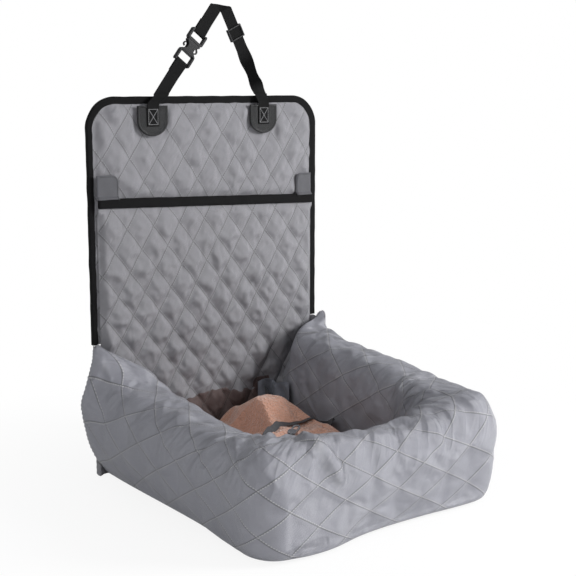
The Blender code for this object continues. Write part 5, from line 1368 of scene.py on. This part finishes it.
def strap_start(foot, along):
    """Pairs where a run leaves the top of the back: first level, then square to the run."""
    across = OUT.cross(along)
    slant = Vector((HALF_WEB / abs(along.z), 0, 0)) * (1 if across.x > 0 else -1)
    lift = foot + along * 2 * HALF_WEB
    foot = foot - Vector((0, 0, 0.0006))
    return [(foot - slant, foot + slant), (lift - across * HALF_WEB, lift + across * HALF_WEB)]


# %% Head strap
WEB_WIDTH, WEB_THICK, HALF_WEB = 0.025, 0.0014, 0.0125
STRAP_Y, STRAP_Z = 0.2535, 0.690
BAR_IN, BUCKLE_LENGTH = 0.00225, 0.070  # how far the buckle's bars lie in from its ends
SLACK = 0.0003  # between a strap and the bar that it wraps
notch = Vector((0.0245, STRAP_Y, 0.838))
runs = []
for foot_x, side in ((-0.105, -1), (0.1132, 1)):
    foot = Vector((foot_x, STRAP_Y, STRAP_Z))
    away = notch - foot
    offset = math.asin((HALF_WEB + 0.001) / away.length)
    along = Matrix.Rotation(side * offset, 3, "Y") @ away.normalized()
    runs.append((foot, foot + along * away.length * math.cos(offset), along))
(left_foot, left_top, left_along), (right_foot, right_top, right_along) = runs
buckle_frame = strap_frame(left_foot, left_top, 0.0695)
wrap = 0.0015 + SLACK + WEB_THICK / 2
reach = wrap + BAR_IN - 0.0008
pairs = strap_start(left_foot, left_along)
pairs += bar_wrap(buckle_frame, BAR_IN, 1, WEB_WIDTH, HALF_WEB, wrap, reach)
web, _ = strip(pairs, WEB_WIDTH, WEB_THICK)
as_piece("strap_left", web, black_webbing, "webbing", "head_strap", "webbing_left")

pairs = bar_wrap(buckle_frame, BUCKLE_LENGTH - BAR_IN, -1, WEB_WIDTH, HALF_WEB, wrap, reach)[::-1]
left_across, right_across = OUT.cross(left_along), OUT.cross(-right_along)
for step in range(13):
    share = step / 12
    across = left_across.lerp(right_across, share).normalized()
    bulge = math.sin(math.pi * share)
    tilt = Vector((0, 0.012 * bulge, 0))
    inner = notch + across * 0.001
    pairs.append((inner, inner + across * WEB_WIDTH * (1 - 0.42 * bulge) + tilt))
# Twist of the right run: share of the way down from the top, and degrees
TWIST = ((0.10, 0), (0.46, 0), (0.52, 12), (0.58, 30), (0.64, 50), (0.70, 66), (0.76, 72),
         (0.81, 66), (0.86, 46), (0.90, 24), (0.94, 8), (0.97, 0))
for place, degrees in TWIST:
    spot = right_top.lerp(right_foot, place)
    across = Matrix.Rotation(math.radians(degrees), 3, -right_along) @ right_across
    pairs.append((spot - across * HALF_WEB, spot + across * HALF_WEB))
level = strap_start(right_foot, right_along)[0]
if (level[1] - level[0]).dot(pairs[-1][1] - pairs[-1][0]) < 0:
    level = level[::-1]
web, _ = strip(pairs + [level], WEB_WIDTH, WEB_THICK)
as_piece("strap_right", web, black_webbing, "webbing", "head_strap", "webbing_right")

SEWN_FOOT, SEWN_MIDDLE, SEWN_TOP = 0.6332, 0.652, 0.6705  # heights of the strap's sewn end
CROSS_HEIGHT, CROSS_HALF, CROSS_TALL = 0.650, 0.0095, 0.0135  # the box of stitches on it
for name, tab_x, foot, along in (("left", -0.126, left_foot, left_along),
                                 ("right", 0.117, right_foot, right_along)):
    y = TAB_FACE - 0.0030
    slant = HALF_WEB / abs(along.z)
    rows = [(tab_x, HALF_WEB, y, z) for z in (SEWN_FOOT, SEWN_MIDDLE, SEWN_TOP)]
    for step in range(1, 9):
        bend = ease(step / 8)
        rows.append((tab_x + (foot.x - tab_x) * bend, HALF_WEB + (slant - HALF_WEB) * bend,
                     y + (STRAP_Y - 0.0024 - y) * bend,
                     SEWN_TOP + (STRAP_Z + 0.0005 - SEWN_TOP) * step / 8))
    pairs = [(Vector((x - half, depth, z)), Vector((x + half, depth, z)))
             for x, half, depth, z in rows]
    web, _ = strip(pairs, WEB_WIDTH, WEB_THICK)
    as_piece("strap_end_" + name, web, black_webbing, "webbing", "back", "webbing_end_" + name)
    corners = [Vector((tab_x + u * CROSS_HALF, y - 0.0009, CROSS_HEIGHT + v * CROSS_TALL))
               for u, v in ((-1, -1), (1, -1), (1, 1), (-1, 1))]
    lines = [inset_line(line) for line in (corners + corners[:1], corners[::2], corners[1::2])]
    thread_lines("cross_stitch_" + name, lines, 0.00042, grey_thread, 0.0030)

# %% [markdown]
# ## Tether
# The tether is sewn on at the foot of the back, in the rear right corner. It runs forward on its
# edge beside the cushion, turns flat over the cushion and ends in a loop round the eye of the
# snap hook. Where it lies on the cushion, its height is read off the cushion's mesh.


# %% Tether and its anchor
def smooth_route(points, steps):
    """A smooth curve through the points, steps to each span."""
    spots = [Vector(point) for point in points]
    route = []
    for index in range(len(spots) - 1):
        before, start, end = spots[max(index - 1, 0)], spots[index], spots[index + 1]
        after = spots[min(index + 2, len(spots) - 1)]
        for step in range(steps):
            t = step / steps
            bend = (2 * before - 5 * start + 4 * end - after) * t * t
            twist = (3 * start - before - 3 * end + after) * t ** 3
            route.append((2 * start + (end - before) * t + bend + twist) / 2)
    return route + [spots[-1]]


# Places in X and Y with the strap's lean in degrees, and its height where it isn't on the cushion
TETHER_ROUTE = (
    (0.112, 0.240, 80, 0.112), (0.124, 0.228, 85, 0.090), (0.1325, 0.205, 90, 0.074),
    (0.1335, 0.150, 90, 0.068), (0.1335, 0.100, 85, 0.070), (0.1320, 0.064, 70, 0.078),
    (0.1270, 0.046, 45, 0.088), (0.1200, 0.040, 25, 0.097), (0.1110, 0.042, 12, None),
    (0.1000, 0.050, 8, None), (0.0839, 0.058, 8, None), (0.0655, 0.064, 6, None),
    (0.0510, 0.066, 0, None), (0.0370, 0.065, -14, None), (0.0190, 0.060, -30, None),
    (0.0001, 0.050, -40, None), (-0.0217, 0.037, -38, None), (-0.0400, 0.024, -20, None),
    (-0.062, 0.004, 0, None), (-0.082, -0.020, 0, None), (-0.089, -0.045, 0, None),
    (-0.080, -0.062, 0, None), (-0.066, -0.059, 0, None),
)
TETHER_WIDE, TETHER_THICK, HALF_TETHER = 0.013, 0.0016, 0.0065
UP = Vector((0, 0, 1))
HOOK_EYE = (-0.031, -0.037, 0.1106)
heading, rise = math.radians(31.0), math.radians(17.0)
flat = math.cos(rise)
hook_along = Vector((math.cos(heading) * flat, math.sin(heading) * flat, math.sin(rise)))
hook_across = UP.cross(hook_along).normalized()
hook_frame = Matrix((hook_along, hook_across, hook_along.cross(hook_across))).transposed().to_4x4()
hook_frame = Matrix.Translation(HOOK_EYE) @ hook_frame
plush = cushion.evaluated_get(bpy.context.evaluated_depsgraph_get())


def cushion_under(x, y):
    """Height of the finished cushion under a place."""
    hit, spot, _, _ = plush.ray_cast(Vector((x, y, 0.3)), Vector((0, 0, -1)))
    return spot.z if hit else cz0 + 0.03


start = Vector((ANCHOR[0], 0.2455, ANCHOR[1] - 0.008))
pairs = [(start - UP * HALF_TETHER, start + UP * HALF_TETHER)]
SPAN_STEPS = 4
route = smooth_route([place[:3] for place in TETHER_ROUTE], SPAN_STEPS)
for index, spot in enumerate(route):
    ahead = route[min(index + 1, len(route) - 1)] - route[max(index - 1, 0)]
    beside = Vector((-ahead.y, ahead.x, 0)).normalized()
    lean = math.radians(spot.z)
    across = beside * math.cos(lean) + UP * math.sin(lean)
    rest = max(cushion_under(spot.x + across.x * side, spot.y + across.y * side)
               for side in (-HALF_TETHER, 0, HALF_TETHER)) + 0.0014 + HALF_TETHER * abs(across.z)
    span, step = divmod(index, SPAN_STEPS)
    given = [TETHER_ROUTE[min(end, len(TETHER_ROUTE) - 1)][3] for end in (span, span + 1)]
    before, after = [rest if height is None else height for height in given]
    share = step / SPAN_STEPS
    middle = Vector((spot.x, spot.y, before * (1 - share) + after * share))
    pairs.append((middle - across * HALF_TETHER, middle + across * HALF_TETHER))
wrap = 0.0014 + SLACK + TETHER_THICK / 2
around = bar_wrap(hook_frame, -0.011, 1, 0.014, HALF_TETHER, wrap, wrap)
if (around[0][1] - around[0][0]).dot(pairs[-1][1] - pairs[-1][0]) < 0:
    around = [(right, left) for left, right in around]
web, tether_line = strip(pairs + around, TETHER_WIDE, TETHER_THICK, passes=14)
tether = as_piece("tether_webbing", web, tether_webbing, "webbing", "bed", "tether_strap")

FLAP_START, FLAP_END = 0.097, 0.1325  # X where the fold leaves the back, and X of its far side


def flap_side(depth):
    """One side of the lining's loose fold in the rear right corner, over the tether's anchor."""
    def place(u, v, inside, off):
        turn = ramp(u, 0.030, 0.050)
        x = FLAP_START + u + (FLAP_END - FLAP_START - u) * turn
        y = 0.2425 - (u - 0.038) * turn
        billow = 0.004 * math.sin(u * 150 + v * 60) + 0.003 * noise.noise((u * 60, v * 60, 9))
        out = Vector((-0.4 - 0.5 * turn, -0.9 + 0.6 * turn, 0.2)).normalized()
        spot = Vector((x, y, v + 0.004 * math.sin(u * 90)))
        return spot + out * (billow * ramp(inside, 0, 0.01) + depth)
    return place


flap = soft_slab("corner_flap", (0, 0.076), (0.095, 0.129), (flap_side(0.0016), flap_side(0.0)),
                 slate_cloth, "lining_cloth", "bed", (), (), (0.008, 0.008), 2)
round_off(flap)


def anchor_front(x, z, inside, off):
    return Vector((x, 0.2488 - 0.0016 * math.sqrt(min(1, max(0, inside) / 0.002)), z))


def anchor_rear(x, z, inside, off):
    return Vector((x, 0.2490, z))


(x0, _, z0), (x1, _, z1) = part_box("tether_anchor")
soft_slab("anchor_patch", (x0, z0), (x1, z1 - 0.008), (anchor_front, anchor_rear), brown_cloth,
          "webbing", "bed", ("tether_anchor",), (), (0.006, 0.006), 3)

# %% [markdown]
# ## Stage
# The seat stands on a white floor. Near the seat the floor is a real, pale surface that takes its
# shadow; further out it glows white for the camera, so that no horizon shows.

# %% Stage
stage_shape = bmesh.new()
bmesh.ops.create_grid(stage_shape, x_segments=1, y_segments=1, size=6)
stage_mesh = bpy.data.meshes.new("studio_floor")
stage_shape.to_mesh(stage_mesh)
stage_shape.free()
studio_floor = bpy.data.objects.new("studio_floor", stage_mesh)
studio_floor.location = (0, 0, -0.0005)
bpy.context.collection.objects.link(studio_floor)
pale = Finish("pale_floor", 0.9, (0.93, 0.93, 0.93), specular=0.1)
far = pale.add("VectorMath", {0: pale.place()}, operation="LENGTH").outputs["Value"]
glow = pale.add("MapRange", {"Value": far, "From Min": 0.2, "From Max": 0.9,
                             "To Min": 0.86, "To Max": 1.0}).outputs[0]
seen = pale.times(glow, pale.add("LightPath").outputs["Is Camera Ray"])
lit = pale.add("Emission", {"Color": (1, 1, 1, 1), "Strength": 1.0})
mixed = pale.add("MixShader", {0: seen, 1: pale.shader.outputs[0], 2: lit.outputs[0]})
pale.tree.links.new(mixed.outputs[0], pale.tree.nodes["Material Output"].inputs["Surface"])
studio_floor.data.materials.append(pale.material)
print("stage", studio_floor.name)
